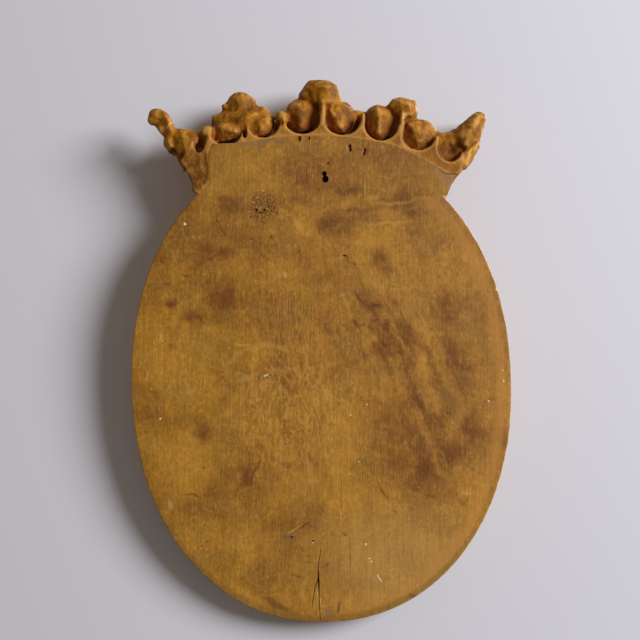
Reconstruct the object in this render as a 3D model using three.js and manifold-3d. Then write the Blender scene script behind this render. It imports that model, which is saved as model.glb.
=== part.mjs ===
// Carved coat of arms in painted wood: an oval board with a relief on its front and a flat back,
// and a coronet carved from a thicker block, glued round the tongue at the board's head.
//
// Millimetres, +Z up. The flat back lies in the plane y = 0 and faces +Y, towards the wall.
// The relief faces -Y. The origin is the middle of the oval, on the back.

import * as THREE from "three";
import { mergeVertices } from "three/addons/utils/BufferGeometryUtils.js";
import Module from "manifold-3d";

const wasm = await Module();
wasm.setup();

// Oval board
const OVAL_WIDTH = 480;
const OVAL_HEIGHT = 602;
const OVAL_FULLNESS = 2.14; // 2 is a true ellipse, and more fills its corners
const OVAL_LEAN_DEG = 1.8; // the hand-sawn oval leans over a little
const BOARD_THICKNESS = 26;
const ARRIS = 1.5; // worn edge round the back

// Relief on the front of the board, in levels above its sawn face
const RIM_WIDTH = 22;
const RIM_HEIGHT = 9;
const QUIRK_WIDTH = 7; // flat sunk line between rim and field
const QUIRK_HEIGHT = 1.5;
const DOME_RISE = 11;
const CHARGE_RISE = 6;
const BEND_WIDTH = 66;
const BEND_ANGLE_DEG = 52;
const STAR_RADIUS = 40;
const STAR_POINTS = 6;
const STAR_OFFSET = 118; // from the middle of the bend to the middle of each star

// Coronet: the circlet is half of a flared, elliptical ring, arched over the oval's shoulder
const FOOT_HALF = 157; // half the circlet's width at its lower edge
const BAND_HEIGHT = 50;
const BAND_FLARE = 20; // how far each end of the circlet leans out, from foot to top
const CROWN_RISE = 14.5; // from the top of the oval up to the floor of the middle pockets
const CORONET_DEPTH = 68;
const CORONET_LEAN_DEG = -1.5;
const CORONET_SHIFT = 1.3;
const BEAD_HEIGHT = 10;
const BEAD_SWELL = 4;
const CABOCHON_LENGTH = 24;
const CABOCHON_HEIGHT = 16;
const CABOCHON_RISE = 7;

// Leaves, prongs and pearls on the circlet. Leaves stand at every other place, pearls between.
const PLACES = [-145.5, -98, -51, 0, 51, 98, 145.5];
const PRONG_HEIGHTS = [26, 23, 31, 36, 12, 10, 12]; // above the pockets, low shoulder first
const PRONG_DEPTH = 14;
const PRONG_WIDTH = 5;
const END_POCKETS = { left: 155, leftHalf: 8.5, right: -162.5, rightHalf: 15 };
const POCKET_ROUND = 20; // height of the rounded bottom of a pocket
const LEAF_HEIGHT = 71.5;
const LEAF_WIDTH = 86;
const LEAF_DEPTH = 52;
const SIDE_LEAF_SIZE = 0.88;
const HORN_HEIGHT = 72;
const HORN_REACH = 30;
const PEARL_RADIUS = 8;
const PEARL_RISE = 23.5;
const FRONT_PEARL_RISE = 32;

// Tongue of the board, which the coronet is glued round
const TONGUE_SIDE = 142.5; // from the coronet's middle to the tongue's straight side
const SEAM_DROP = 3; // from the pockets' bottoms down to the seam
const SHOULDER_START = 90; // where the seam leaves the line of the pockets
const SHOULDER_SHIFT = 14; // up on one shoulder, down on the other
const SHOULDER_PARING = 6; // the low shoulder is pared away at its corner
const GLUE_GAP = 0.3;

// Nail holes and lost knots in the back: place, size across and along the grain, depth
const NAIL_HOLE_DEPTH = 14;
const NAIL_HOLES = [
  { x: -4.2, drop: 50, width: 6 },
  { x: -5, drop: 58, width: 8 },
];
const CHIPS = [
  { x: 28, drop: 7.5, across: 4, along: 8, deep: 6 },
  { x: -35, drop: 17.5, across: 4.6, along: 11, deep: 7 },
  { x: -54, drop: 21.5, across: 3.8, along: 9, deep: 6 },
];

// Faceting
const OVAL_SIDES = 60;
const BAND_SIDES = 40;
const PETAL_SIDES = 8;
const PETAL_RINGS = 5;
const OUTLINE_STEP = 12;

const radians = THREE.MathUtils.degToRad;

// Booleans

function solidFrom(geometry) {
  const bare = geometry.index ? geometry.toNonIndexed() : geometry.clone();
  bare.deleteAttribute("normal");
  bare.deleteAttribute("uv");
  const merged = mergeVertices(bare, 1e-4);
  return new wasm.Manifold(
    new wasm.Mesh({
      numProp: 3,
      vertProperties: merged.attributes.position.array,
      triVerts: new Uint32Array(merged.index.array),
    }),
  );
}

// Petals that cross can shut in a small void, and carved wood has none. Each shell of faces that
// encloses less than nothing is the wall of a void, so only the faces of the other shells stay.
function outerFaces(points, faces) {
  const shellOf = Array.from({ length: points.length / 3 }, (_, i) => i);
  const find = (i) => {
    while (shellOf[i] !== i) {
      i = shellOf[i];
    }
    return i;
  };
  for (let i = 0; i < faces.length; i += 3) {
    for (const corner of [faces[i + 1], faces[i + 2]]) {
      const from = find(corner);
      const to = find(faces[i]);
      shellOf[Math.max(from, to)] = Math.min(from, to);
    }
  }
  const volumes = new Map();
  for (let i = 0; i < faces.length; i += 3) {
    const [a, b, c] = [0, 1, 2].map((k) => new THREE.Vector3().fromArray(points, 3 * faces[i + k]));
    const shell = find(faces[i]);
    volumes.set(shell, (volumes.get(shell) ?? 0) + a.dot(b.cross(c)) / 6);
  }
  return faces.filter((_, i) => volumes.get(find(faces[3 * Math.floor(i / 3)])) > 0);
}

function geometryFrom(solid) {
  const { vertProperties, triVerts } = solid.getMesh();
  const geometry = new THREE.BufferGeometry();
  geometry.setAttribute("position", new THREE.BufferAttribute(vertProperties, 3));
  geometry.setIndex(new THREE.BufferAttribute(outerFaces(vertProperties, triVerts), 1));
  geometry.computeVertexNormals();
  return geometry;
}

function joined(solids) {
  return solids.reduce((whole, solid) => whole.add(solid));
}

// A flat outline in X and Z, made solid from y = back forwards to y = back - depth.
function slab(shape, back, depth) {
  const geometry = new THREE.ExtrudeGeometry(shape, {
    depth,
    bevelEnabled: false,
    curveSegments: 8,
  });
  geometry.rotateX(Math.PI / 2);
  geometry.translate(0, back, 0);
  return geometry;
}

// Board

// Height of the oval's outline over its middle, `x` to the side.
function ovalTop(x) {
  const share = Math.abs(x) / (OVAL_WIDTH / 2);
  return (OVAL_HEIGHT / 2) * (1 - share ** OVAL_FULLNESS) ** (1 / OVAL_FULLNESS);
}

const SEAT_HEIGHT = ovalTop(FOOT_HALF);
const BAND_ARCH = OVAL_HEIGHT / 2 + CROWN_RISE - BAND_HEIGHT - SEAT_HEIGHT;

// A point of the oval drawn in by `inset` from its outline, `turn` radians round from +X.
function ovalPoint(inset, turn) {
  const power = 2 / OVAL_FULLNESS;
  const across = Math.cos(turn);
  const up = Math.sin(turn);
  return new THREE.Vector2(
    (OVAL_WIDTH / 2 - inset) * Math.sign(across) * Math.abs(across) ** power,
    (OVAL_HEIGHT / 2 - inset) * Math.sign(up) * Math.abs(up) ** power,
  );
}

// Turns a lathe made with radius and level into an oval body: the border keeps its width all
// round, and inside `border` the rings shrink evenly to the middle.
function ovalBody(profile, border) {
  const geometry = new THREE.LatheGeometry(profile, OVAL_SIDES);
  const place = geometry.attributes.position;
  const innerRadius = OVAL_WIDTH / 2 - border;
  for (let i = 0; i < place.count; i += 1) {
    const radius = Math.hypot(place.getX(i), place.getZ(i));
    const turn = Math.atan2(-place.getZ(i), place.getX(i));
    const inset = Math.min(OVAL_WIDTH / 2 - radius, border);
    const point = ovalPoint(inset, turn).multiplyScalar(Math.min(radius / innerRadius, 1));
    place.setXYZ(i, point.x, -place.getY(i), point.y);
  }
  geometry.rotateY(radians(OVAL_LEAN_DEG));
  return geometry;
}

const BORDER = RIM_WIDTH + QUIRK_WIDTH;
const FIELD_RADIUS = OVAL_WIDTH / 2 - BORDER;
const FIELD_LEVEL = BOARD_THICKNESS + QUIRK_HEIGHT;

// The dome of the field, from its border to the middle, `rise` above the board's face.
function domeProfile(rise) {
  const steps = 5;
  return Array.from({ length: steps + 1 }, (_, i) => {
    const share = 1 - i / steps;
    return new THREE.Vector2(
      FIELD_RADIUS * share,
      FIELD_LEVEL + rise + DOME_RISE * (1 - share ** 2),
    );
  });
}

function boardProfile() {
  const edge = OVAL_WIDTH / 2;
  const profile = [
    new THREE.Vector2(0, 0),
    new THREE.Vector2(edge - ARRIS, 0),
    new THREE.Vector2(edge, ARRIS),
    new THREE.Vector2(edge, BOARD_THICKNESS),
  ];
  const beadSteps = 5;
  for (let i = 1; i < beadSteps; i += 1) {
    const turn = (Math.PI * i) / beadSteps;
    const across = (RIM_WIDTH / 2) * (1 - Math.cos(turn));
    profile.push(new THREE.Vector2(edge - across, BOARD_THICKNESS + RIM_HEIGHT * Math.sin(turn)));
  }
  profile.push(new THREE.Vector2(edge - RIM_WIDTH, BOARD_THICKNESS + QUIRK_HEIGHT));
  return profile.concat(domeProfile(0));
}

// The charge is cut from a second dome, a little prouder than the field.
function charge() {
  const dome = domeProfile(CHARGE_RISE);
  dome.unshift(new THREE.Vector2(FIELD_RADIUS, BOARD_THICKNESS / 2));
  dome.unshift(new THREE.Vector2(0, BOARD_THICKNESS / 2));
  const raised = solidFrom(ovalBody(dome, BORDER));

  const reach = OVAL_HEIGHT;
  const bend = new THREE.Shape([
    new THREE.Vector2(-reach, -BEND_WIDTH / 2),
    new THREE.Vector2(reach, -BEND_WIDTH / 2),
    new THREE.Vector2(reach, BEND_WIDTH / 2),
    new THREE.Vector2(-reach, BEND_WIDTH / 2),
  ]);
  const cutters = [slab(bend, 0, 2 * BOARD_THICKNESS)];
  for (const side of [-1, 1]) {
    const cutter = slab(star(), 0, 2 * BOARD_THICKNESS);
    cutter.rotateY(radians(-BEND_ANGLE_DEG));
    cutter.translate(0, 0, side * STAR_OFFSET);
    cutters.push(cutter);
  }
  for (const cutter of cutters) {
    cutter.rotateY(radians(BEND_ANGLE_DEG));
  }
  return raised.intersect(joined(cutters.map(solidFrom)));
}

function star() {
  const corners = Array.from({ length: 2 * STAR_POINTS }, (_, i) => {
    const turn = (Math.PI * i) / STAR_POINTS;
    const radius = STAR_RADIUS * (i % 2 ? 0.5 : 1);
    return new THREE.Vector2(radius * Math.sin(turn), radius * Math.cos(turn));
  });
  return new THREE.Shape(corners);
}

// The coronet's own frame: origin at the middle of the circlet's foot, on the back.
const coronetFrame = new THREE.Matrix4()
  .makeRotationY(radians(CORONET_LEAN_DEG))
  .setPosition(CORONET_SHIFT, 0, SEAT_HEIGHT);

// Lower and upper edge of the circlet, `x` to the side.
function bandFoot(x) {
  return BAND_ARCH * (1 - (x / FOOT_HALF) ** 2);
}

function bandTop(x) {
  return bandFoot(x) + BAND_HEIGHT;
}

// The seam between tongue and coronet as the back shows it.
function seam(x) {
  const ramp = Math.max(0, (Math.abs(x) - SHOULDER_START) / (FOOT_HALF - SHOULDER_START)) ** 1.4;
  return bandTop(x) - SEAM_DROP + Math.sign(x) * SHOULDER_SHIFT * ramp;
}

// Outline of the tongue, in the coronet's frame. On the low shoulder it runs out to the edge, and
// on by `beyond`.
function tongueOutline(grow, beyond) {
  const root = -SEAT_HEIGHT / 2;
  const shape = new THREE.Shape();
  shape.moveTo(-TONGUE_SIDE, root);
  shape.lineTo(-FOOT_HALF - beyond, -ARRIS);
  shape.lineTo(-bandHalf(seam(-FOOT_HALF)) - beyond, seam(-FOOT_HALF) + grow);
  for (let x = -FOOT_HALF; x < TONGUE_SIDE - OUTLINE_STEP; x += OUTLINE_STEP) {
    shape.lineTo(x, seam(x) + grow);
  }
  shape.lineTo(TONGUE_SIDE - OUTLINE_STEP / 2, seam(TONGUE_SIDE) + grow);
  shape.lineTo(TONGUE_SIDE + grow, seam(TONGUE_SIDE) - OUTLINE_STEP);
  shape.lineTo(TONGUE_SIDE + grow, root);
  return shape;
}

function ovalOutline(grow) {
  const corners = Array.from({ length: OVAL_SIDES }, (_, i) =>
    ovalPoint(-grow, (2 * Math.PI * i) / OVAL_SIDES),
  );
  return new THREE.Shape(corners);
}

// What the coronet is cut to: the sawn board, with room for the glue.
function boardEnvelope() {
  const thick = BOARD_THICKNESS + GLUE_GAP;
  const oval = slab(ovalOutline(GLUE_GAP), 1, thick + 1);
  oval.rotateY(radians(OVAL_LEAN_DEG));
  const tongue = slab(tongueOutline(GLUE_GAP, 2 * BEAD_SWELL), 1, thick + 1);
  tongue.applyMatrix4(coronetFrame);
  return solidFrom(oval).add(solidFrom(tongue));
}

// Everything in front of the board from the circlet's foot upwards, which the coronet covers.
function coronetSeat() {
  const side = OVAL_WIDTH / 2;
  const shape = new THREE.Shape();
  shape.moveTo(side, OVAL_HEIGHT / 2);
  shape.lineTo(-side, OVAL_HEIGHT / 2);
  for (let x = -side; x <= side; x += OUTLINE_STEP) {
    shape.lineTo(x, bandFoot(x) - GLUE_GAP);
  }
  const seat = slab(shape, -BOARD_THICKNESS, CORONET_DEPTH);
  seat.applyMatrix4(coronetFrame);
  return solidFrom(seat);
}

// A block laid against the back and tipped into it, which thins the corner of the low shoulder.
function shoulderParing() {
  const head = new THREE.Vector2(BAND_FLARE - FOOT_HALF, seam(BAND_FLARE - FOOT_HALF));
  const foot = new THREE.Vector2(-FOOT_HALF, 0);
  const run = head.distanceTo(foot);
  const turn = Math.atan2(head.y - foot.y, foot.x - head.x);
  const block = new THREE.BoxGeometry(2 * run, SHOULDER_PARING, run);
  block.translate(run / 2, SHOULDER_PARING / 2, -run / 2);
  block.rotateX(-Math.atan(SHOULDER_PARING / run));
  block.rotateY(turn);
  block.translate(head.x, 0, head.y);
  block.applyMatrix4(coronetFrame);
  return solidFrom(block);
}

function backHoles() {
  const top = bandTop(0);
  const holes = NAIL_HOLES.map(({ x, drop, width }) => {
    const drill = new THREE.CylinderGeometry(width / 2, width / 2, 2 * NAIL_HOLE_DEPTH, 10);
    drill.translate(x, 0, top - drop);
    return drill;
  });
  const chips = CHIPS.map(({ x, drop, across, along, deep }) => {
    const pit = new THREE.SphereGeometry(0.5, 8, 6);
    pit.scale(across, 2 * deep, along);
    pit.translate(x, 0, top - drop);
    return pit;
  });
  const cutters = holes.concat(chips);
  for (const cutter of cutters) {
    cutter.applyMatrix4(coronetFrame);
  }
  return joined(cutters.map(solidFrom));
}

function ovalBoard() {
  const tongue = slab(tongueOutline(0, 0), 0, BOARD_THICKNESS);
  tongue.applyMatrix4(coronetFrame);
  return solidFrom(ovalBody(boardProfile(), BORDER))
    .add(charge())
    .subtract(coronetSeat())
    .add(solidFrom(tongue))
    .subtract(shoulderParing())
    .subtract(backHoles());
}

// Coronet

// Half-width of the circlet's plain surface at a height over its foot.
function bandHalf(height) {
  return FOOT_HALF + (BAND_FLARE * height) / BAND_HEIGHT;
}

const DEPTH_SHARE = CORONET_DEPTH / bandHalf(BAND_HEIGHT);

// The circlet's side view as the back shows it, arched between foot and top.
function bandOutline() {
  const end = bandHalf(BAND_HEIGHT) + BEAD_SWELL;
  const shape = new THREE.Shape();
  shape.moveTo(-end, bandFoot(-end));
  for (let x = -end; x < end; x += OUTLINE_STEP) {
    shape.lineTo(x, bandTop(x));
  }
  shape.lineTo(end, bandTop(end));
  for (let x = end; x > -end; x -= OUTLINE_STEP) {
    shape.lineTo(x, bandFoot(x));
  }
  return shape;
}

// A full flared ring with a bead at its foot and top, bent to the arch and cut to the front half.
function circlet() {
  const spare = BEAD_HEIGHT;
  const profile = [new THREE.Vector2(0, -spare), new THREE.Vector2(bandHalf(-spare), -spare)];
  const beadSteps = 4;
  for (const foot of [0, BAND_HEIGHT - BEAD_HEIGHT]) {
    for (let i = 0; i <= beadSteps; i += 1) {
      const height = foot + (BEAD_HEIGHT * i) / beadSteps;
      const swell = BEAD_SWELL * Math.sin((Math.PI * i) / beadSteps);
      profile.push(new THREE.Vector2(bandHalf(height) + swell, height));
    }
  }
  profile.push(new THREE.Vector2(bandHalf(BAND_HEIGHT + spare), BAND_HEIGHT + spare));
  profile.push(new THREE.Vector2(0, BAND_HEIGHT + spare));
  const ring = new THREE.LatheGeometry(profile, BAND_SIDES);
  ring.rotateX(Math.PI / 2);
  ring.scale(1, DEPTH_SHARE, 1);
  const place = ring.attributes.position;
  for (let i = 0; i < place.count; i += 1) {
    place.setZ(i, place.getZ(i) + bandFoot(place.getX(i)));
  }
  return solidFrom(ring).intersect(solidFrom(slab(bandOutline(), 0, 2 * CORONET_DEPTH)));
}

// Where the circlet's front surface is, `x` to the side and a share of its height up.
function onBand(x, share) {
  const height = share * BAND_HEIGHT;
  const half = bandHalf(height);
  const front = DEPTH_SHARE * Math.sqrt(Math.max(half ** 2 - x ** 2, 0));
  return new THREE.Vector3(x, -front, bandFoot(x) + height);
}

function cabochon(x, length) {
  const stone = new THREE.SphereGeometry(0.5, 10, 4);
  stone.scale(length, 2 * CABOCHON_RISE, CABOCHON_HEIGHT);
  const place = onBand(x, 0.5);
  stone.rotateZ(Math.atan2(x * DEPTH_SHARE, bandHalf(BAND_HEIGHT / 2)));
  stone.translate(place.x, place.y, place.z);
  return solidFrom(stone);
}

// The back wall of the coronet, as high as its prongs.
function backWall() {
  const end = bandHalf(BAND_HEIGHT);
  const shape = new THREE.Shape();
  shape.moveTo(-FOOT_HALF, 0);
  shape.lineTo(-end, bandTop(end));
  PLACES.forEach((x, i) => {
    shape.lineTo(x, bandTop(x) + PRONG_HEIGHTS[i]);
  });
  shape.lineTo(end, bandTop(end));
  shape.lineTo(FOOT_HALF, 0);
  return solidFrom(slab(shape, 0, PRONG_DEPTH));
}

// A pocket scooped out of the back wall, round below and open above, `half` wide each way.
function pocket(x, half) {
  const floor = bandTop(x);
  const open = floor + LEAF_HEIGHT;
  const shape = new THREE.Shape();
  shape.moveTo(x - half, open);
  shape.lineTo(x - half, floor + POCKET_ROUND);
  shape.absellipse(x, floor + POCKET_ROUND, half, POCKET_ROUND, Math.PI, 2 * Math.PI, false);
  shape.lineTo(x + half, open);
  return solidFrom(slab(shape, 1, PRONG_DEPTH + 2));
}

// One pocket between each prong and the next, and a narrower one before each horn.
function pockets() {
  const cuts = [pocket(END_POCKETS.left, END_POCKETS.leftHalf)];
  cuts.push(pocket(END_POCKETS.right, END_POCKETS.rightHalf));
  for (let i = 1; i < PLACES.length; i += 1) {
    const middle = (PLACES[i] + PLACES[i - 1]) / 2;
    const half = (PLACES[i] - PLACES[i - 1] - PRONG_WIDTH) / 2;
    cuts.push(pocket(middle, half));
  }
  return joined(cuts);
}

// A petal: a round body drawn out along a bent spine. `across` is the way its width lies, and
// `fullness` shapes its section, from 1, a sharp-edged lozenge, to 2, an oval.
function petal({ spine, width, thick, across = [1, 0, 0], fullness = 1.5 }) {
  const curve = new THREE.QuadraticBezierCurve3(...spine.map((p) => new THREE.Vector3(...p)));
  const geometry = new THREE.SphereGeometry(1, PETAL_SIDES, PETAL_RINGS);
  const place = geometry.attributes.position;
  const power = 2 / fullness;
  for (let i = 0; i < place.count; i += 1) {
    const share = (1 + place.getY(i)) / 2;
    const tangent = curve.getTangent(share);
    const side = new THREE.Vector3(...across);
    side.addScaledVector(tangent, -side.dot(tangent)).normalize();
    const through = side.clone().cross(tangent);
    const girth = Math.hypot(place.getX(i), place.getZ(i));
    const turn = Math.atan2(place.getZ(i), place.getX(i));
    const wide = width * girth * Math.sign(Math.cos(turn)) * Math.abs(Math.cos(turn)) ** power;
    const deep = thick * girth * Math.sign(Math.sin(turn)) * Math.abs(Math.sin(turn)) ** power;
    const point = curve.getPoint(share).addScaledVector(side, wide).addScaledVector(through, deep);
    place.setXYZ(i, point.x, point.y, point.z);
  }
  return geometry;
}

// Leaves. Their petals are given as shares of half the leaf's width, of its depth forwards and
// of its height, from the floor of the pockets.
const STEM_PETALS = [
  { spine: [[0, 0.02, -0.1], [0, 0.02, 0.5], [0, 0.5, 0.95]], width: 0.11, thick: 0.12 },
  { spine: [[0, 0.6, -0.2], [0, 0.62, 0.4], [0, 0.75, 0.98]], width: 0.42, thick: 0.4 },
  { spine: [[0, 1.0, -0.1], [0, 1.3, 0.35], [0, 0.95, 0.8]], width: 0.3, thick: 0.16 },
];
const HEAD_PETAL = {
  spine: [[0.03, 0.2, 0.36], [0.03, 0.34, 1.1], [0.03, 1.02, 0.74]],
  width: 0.6,
  thick: 0.31,
  fullness: 2.2,
};
const SIDE_PETALS = [
  { spine: [[0.4, 0.95, 0.09], [0.72, 0.0, 0.4], [0.56, 0.9, 0.7]], width: 0.44, thick: 0.26 },
  { spine: [[0.3, 0.9, -0.1], [0.95, 1.15, 0.1], [0.98, 0.8, 0.54]], width: 0.3, thick: 0.22 },
];
// The fullest leaf is a heap of lumps that come nearly up to the back.
const FULL_PETALS = [
  { spine: [[0.2, 0.6, -0.2], [0.2, 0.62, 0.4], [0.24, 0.75, 0.92]], width: 0.42, thick: 0.4 },
  { spine: [[0.24, 0.5, 0.55], [0.24, 0.35, 1.08], [0.24, 1.0, 0.74]], width: 0.44, thick: 0.3 },
  { spine: [[0.17, 0.35, 0.44], [0.17, 0.4, 0.68], [0.17, 0.8, 0.84]], width: 0.62, thick: 0.26 },
  { spine: [[0.14, 0.7, 0.1], [0.14, 0.0, 0.46], [0.14, 0.7, 0.8]], width: 0.96, thick: 0.3 },
  { spine: [[0.56, 0.7, -0.12], [0.62, -0.12, 0.2], [0.52, 0.4, 0.52]], width: 0.48, thick: 0.28 },
  { spine: [[-0.38, 0.7, 0.0], [-0.46, -0.1, 0.32], [-0.38, 0.4, 0.66]], width: 0.52, thick: 0.28 },
];

// A petal scaled from its shares. `side` is -1 to mirror it.
function leafPetal({ spine, width, thick, fullness }, side = 1) {
  return petal({
    spine: spine.map(([x, y, z]) => [
      (side * x * LEAF_WIDTH) / 2,
      -y * LEAF_DEPTH,
      z * LEAF_HEIGHT,
    ]),
    width: (width * LEAF_WIDTH) / 2,
    thick: thick * LEAF_DEPTH,
    fullness,
  });
}

function leaf({ x, lean, size, petals }) {
  return petals.map((geometry) => {
    geometry.scale(size, size, size);
    geometry.rotateY(radians(lean));
    geometry.translate(x, 0, bandTop(x));
    return solidFrom(geometry);
  });
}

// An open leaf: stem, curled head and a pair of petals each side. `skew` raises the petals on one
// side and lowers them on the other, as a share of the leaf's height.
function openLeafPetals(skew) {
  const petals = [...STEM_PETALS, HEAD_PETAL].map((shares) => leafPetal(shares));
  for (const side of [1, -1]) {
    for (const shares of SIDE_PETALS) {
      const sidePetal = leafPetal(shares, side);
      sidePetal.translate(0, 0, side * skew * LEAF_HEIGHT);
      petals.push(sidePetal);
    }
  }
  return petals;
}

function fullLeafPetals() {
  const fronts = SIDE_PETALS.slice(1);
  return [
    leafPetal(STEM_PETALS.at(-1)),
    ...FULL_PETALS.map((shares) => leafPetal({ fullness: 2, ...shares })),
    ...fronts.map((shares) => leafPetal(shares, 1)),
    ...fronts.map((shares) => leafPetal(shares, -1)),
  ];
}

// The end leaves stand side on, one curled over like a finger and one pointed. Shares of the
// horn's reach outwards, of the coronet's depth forwards and of the horn's height.
const CURLED_HORN = [
  { spine: [[-0.02, 0.3, -0.2], [-0.2, -0.05, 0.3], [-0.06, 0.4, 0.62]], width: 0.64, thick: 0.24 },
  { spine: [[-0.17, 0.3, 0.1], [0.24, 0.1, 0.42], [0.84, 0.2, 0.74]], width: 0.3, thick: 0.12 },
  { spine: [[0.43, 0.2, 0.42], [0.84, 0.2, 0.9], [1.42, 0.22, 0.82]], width: 0.29, thick: 0.12 },
  { spine: [[1.0, 0.2, 0.84], [1.52, 0.2, 0.96], [1.3, 0.24, 0.54]], width: 0.28, thick: 0.11 },
  { spine: [[0.2, 0.3, 0.04], [0.74, 0.1, 0.2], [0.66, 0.3, 0.46]], width: 0.27, thick: 0.14 },
];
const POINTED_HORN = [
  { spine: [[-0.57, 0.3, -0.32], [0.1, 0.04, 0.39], [0.97, 0.38, 1.04]], width: 0.56, thick: 0.2 },
  { spine: [[-1.2, 0.45, 0.2], [-0.5, 0.3, 0.62], [0.5, 0.42, 0.96]], width: 0.4, thick: 0.2 },
  { spine: [[-0.8, 0.6, -0.3], [-0.8, 0.5, 0.2], [-0.7, 0.55, 0.7]], width: 0.7, thick: 0.12 },
];

function horn(petals, side) {
  const root = bandHalf(BAND_HEIGHT);
  return petals.map(({ spine, width, thick }) => {
    const geometry = petal({
      spine: spine.map(([x, y, z]) => [
        side * x * HORN_REACH,
        -y * CORONET_DEPTH,
        z * HORN_HEIGHT,
      ]),
      width: width * HORN_REACH,
      thick: thick * CORONET_DEPTH,
      fullness: 1.7,
    });
    geometry.translate(side * root, 0, bandTop(root));
    return solidFrom(geometry);
  });
}

// A pearl on its short stem, `forwards` of the coronet's back and `rise` over the pockets.
function pearl(x, forwards, rise) {
  const middle = bandTop(x) + rise;
  const ball = new THREE.SphereGeometry(PEARL_RADIUS, 8, 6);
  ball.translate(x, -forwards, middle);
  const stem = petal({
    spine: [
      [x, -forwards - PEARL_RADIUS, middle - 1.5 * rise],
      [x, -forwards, middle - rise / 2],
      [x, -forwards, middle + PEARL_RADIUS / 2],
    ],
    width: PEARL_RADIUS * 0.7,
    thick: PEARL_RADIUS * 0.7,
    fullness: 2,
  });
  return [solidFrom(ball), solidFrom(stem)];
}

function carving() {
  const [pearlPlace, leafPlace, endPearlPlace] = PLACES.filter((x) => x > 0);
  const solids = [
    ...leaf({ x: leafPlace, lean: 0, size: SIDE_LEAF_SIZE, petals: fullLeafPetals() }),
    ...leaf({ x: 0, lean: 0, size: 1, petals: openLeafPetals(0.02) }),
    ...leaf({ x: -leafPlace, lean: -5, size: SIDE_LEAF_SIZE, petals: openLeafPetals(0.08) }),
    ...pearl(endPearlPlace, 9, PEARL_RISE),
    ...pearl(pearlPlace, 10, PEARL_RISE),
    ...pearl(-pearlPlace, 36, FRONT_PEARL_RISE),
    ...pearl(-endPearlPlace, 34, FRONT_PEARL_RISE),
    ...horn(CURLED_HORN, 1),
    ...horn(POINTED_HORN, -1),
  ];
  PLACES.forEach((x, i) => {
    solids.push(cabochon(x, i % 2 ? CABOCHON_LENGTH : CABOCHON_HEIGHT));
  });
  return joined(solids);
}

function coronet() {
  const behind = new THREE.BoxGeometry(4 * FOOT_HALF, 2 * CORONET_DEPTH, 8 * BAND_HEIGHT);
  behind.translate(0, CORONET_DEPTH, 0);
  const board = geometryFrom(boardEnvelope());
  board.applyMatrix4(coronetFrame.clone().invert());
  return backWall()
    .subtract(pockets())
    .add(circlet())
    .add(carving())
    .subtract(solidFrom(behind))
    .subtract(solidFrom(board));
}

// Scene

const ochre = new THREE.MeshStandardMaterial({ color: 0x96692a, roughness: 0.7, metalness: 0 });
const warmOchre = new THREE.MeshStandardMaterial({ color: 0xa8742c, roughness: 0.5, metalness: 0 });

const arms = new THREE.Group();

const boardMesh = new THREE.Mesh(geometryFrom(ovalBoard()), ochre);
boardMesh.name = "oval_board";
arms.add(boardMesh);

const coronetMesh = new THREE.Mesh(geometryFrom(coronet()), warmOchre);
coronetMesh.name = "coronet";
coronetMesh.position.set(CORONET_SHIFT, 0, SEAT_HEIGHT);
coronetMesh.rotation.y = radians(CORONET_LEAN_DEG);
arms.add(coronetMesh);

export default arms;
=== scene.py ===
# %% [markdown]
# # A carved coat of arms, seen from its back
# The real piece is an oval wooden board with a carved coronet glued round its head, all of it
# washed with ochre paint. The photograph looks straight down on its flat back. The CAD model
# holds the exact forms with broad facets. These cells carve the same forms again with fine
# surfaces, wash them with paint, and light them like the photograph.

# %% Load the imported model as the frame
import math
import random

import bmesh
import bpy
import numpy as np
from mathutils import Matrix, Vector, bvhtree, noise


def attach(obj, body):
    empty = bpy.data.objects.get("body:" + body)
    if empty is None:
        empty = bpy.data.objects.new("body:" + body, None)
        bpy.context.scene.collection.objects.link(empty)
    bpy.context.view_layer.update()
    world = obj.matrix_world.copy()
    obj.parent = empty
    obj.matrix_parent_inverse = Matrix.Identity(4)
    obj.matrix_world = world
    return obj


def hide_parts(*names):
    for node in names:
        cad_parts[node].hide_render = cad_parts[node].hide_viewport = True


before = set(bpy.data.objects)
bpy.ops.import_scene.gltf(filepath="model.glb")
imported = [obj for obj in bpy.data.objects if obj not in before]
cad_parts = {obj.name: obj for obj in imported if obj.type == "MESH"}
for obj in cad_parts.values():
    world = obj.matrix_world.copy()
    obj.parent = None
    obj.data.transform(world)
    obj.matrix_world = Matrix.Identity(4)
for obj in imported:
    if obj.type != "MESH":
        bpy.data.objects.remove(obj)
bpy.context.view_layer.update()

# %% [markdown]
# ## Sizes
# Everything is modelled in millimetres and brought to metres at the end, because a carver's
# sizes read best in millimetres. The oval is hand-sawn: a little fuller than an ellipse, and
# leaning over by almost two degrees.

# %% Sizes of the board and of the coronet
MM = 0.001
OVAL_WIDTH = 480
OVAL_HEIGHT = 602
OVAL_FULLNESS = 2.14
OVAL_LEAN = math.radians(1.8)
THICKNESS = 26
RIM_WIDTH = 22
RIM_HEIGHT = 9
QUIRK_WIDTH = 7
QUIRK_HEIGHT = 1.5
DOME_RISE = 11
CHARGE_RISE = 6

FOOT_HALF = 157
BAND_HEIGHT = 50
BAND_FLARE = 20
CROWN_RISE = 14.5
CORONET_DEPTH = 68
GLUE_GAP = 0.15
print("the oval is", OVAL_WIDTH, "by", OVAL_HEIGHT, "mm, and its plank", THICKNESS, "mm thick")

# %% [markdown]
# The coronet follows the crown of the oval: its circlet is bent to an arch. So each of its lines
# is a height that depends on x, the distance to the side.


# %% Lines of the coronet's arch
def oval_top(x):
    """Height of the oval's outline over its middle, x to the side."""
    share = abs(x) / (OVAL_WIDTH / 2)
    return OVAL_HEIGHT / 2 * (1 - share**OVAL_FULLNESS) ** (1 / OVAL_FULLNESS)


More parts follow.
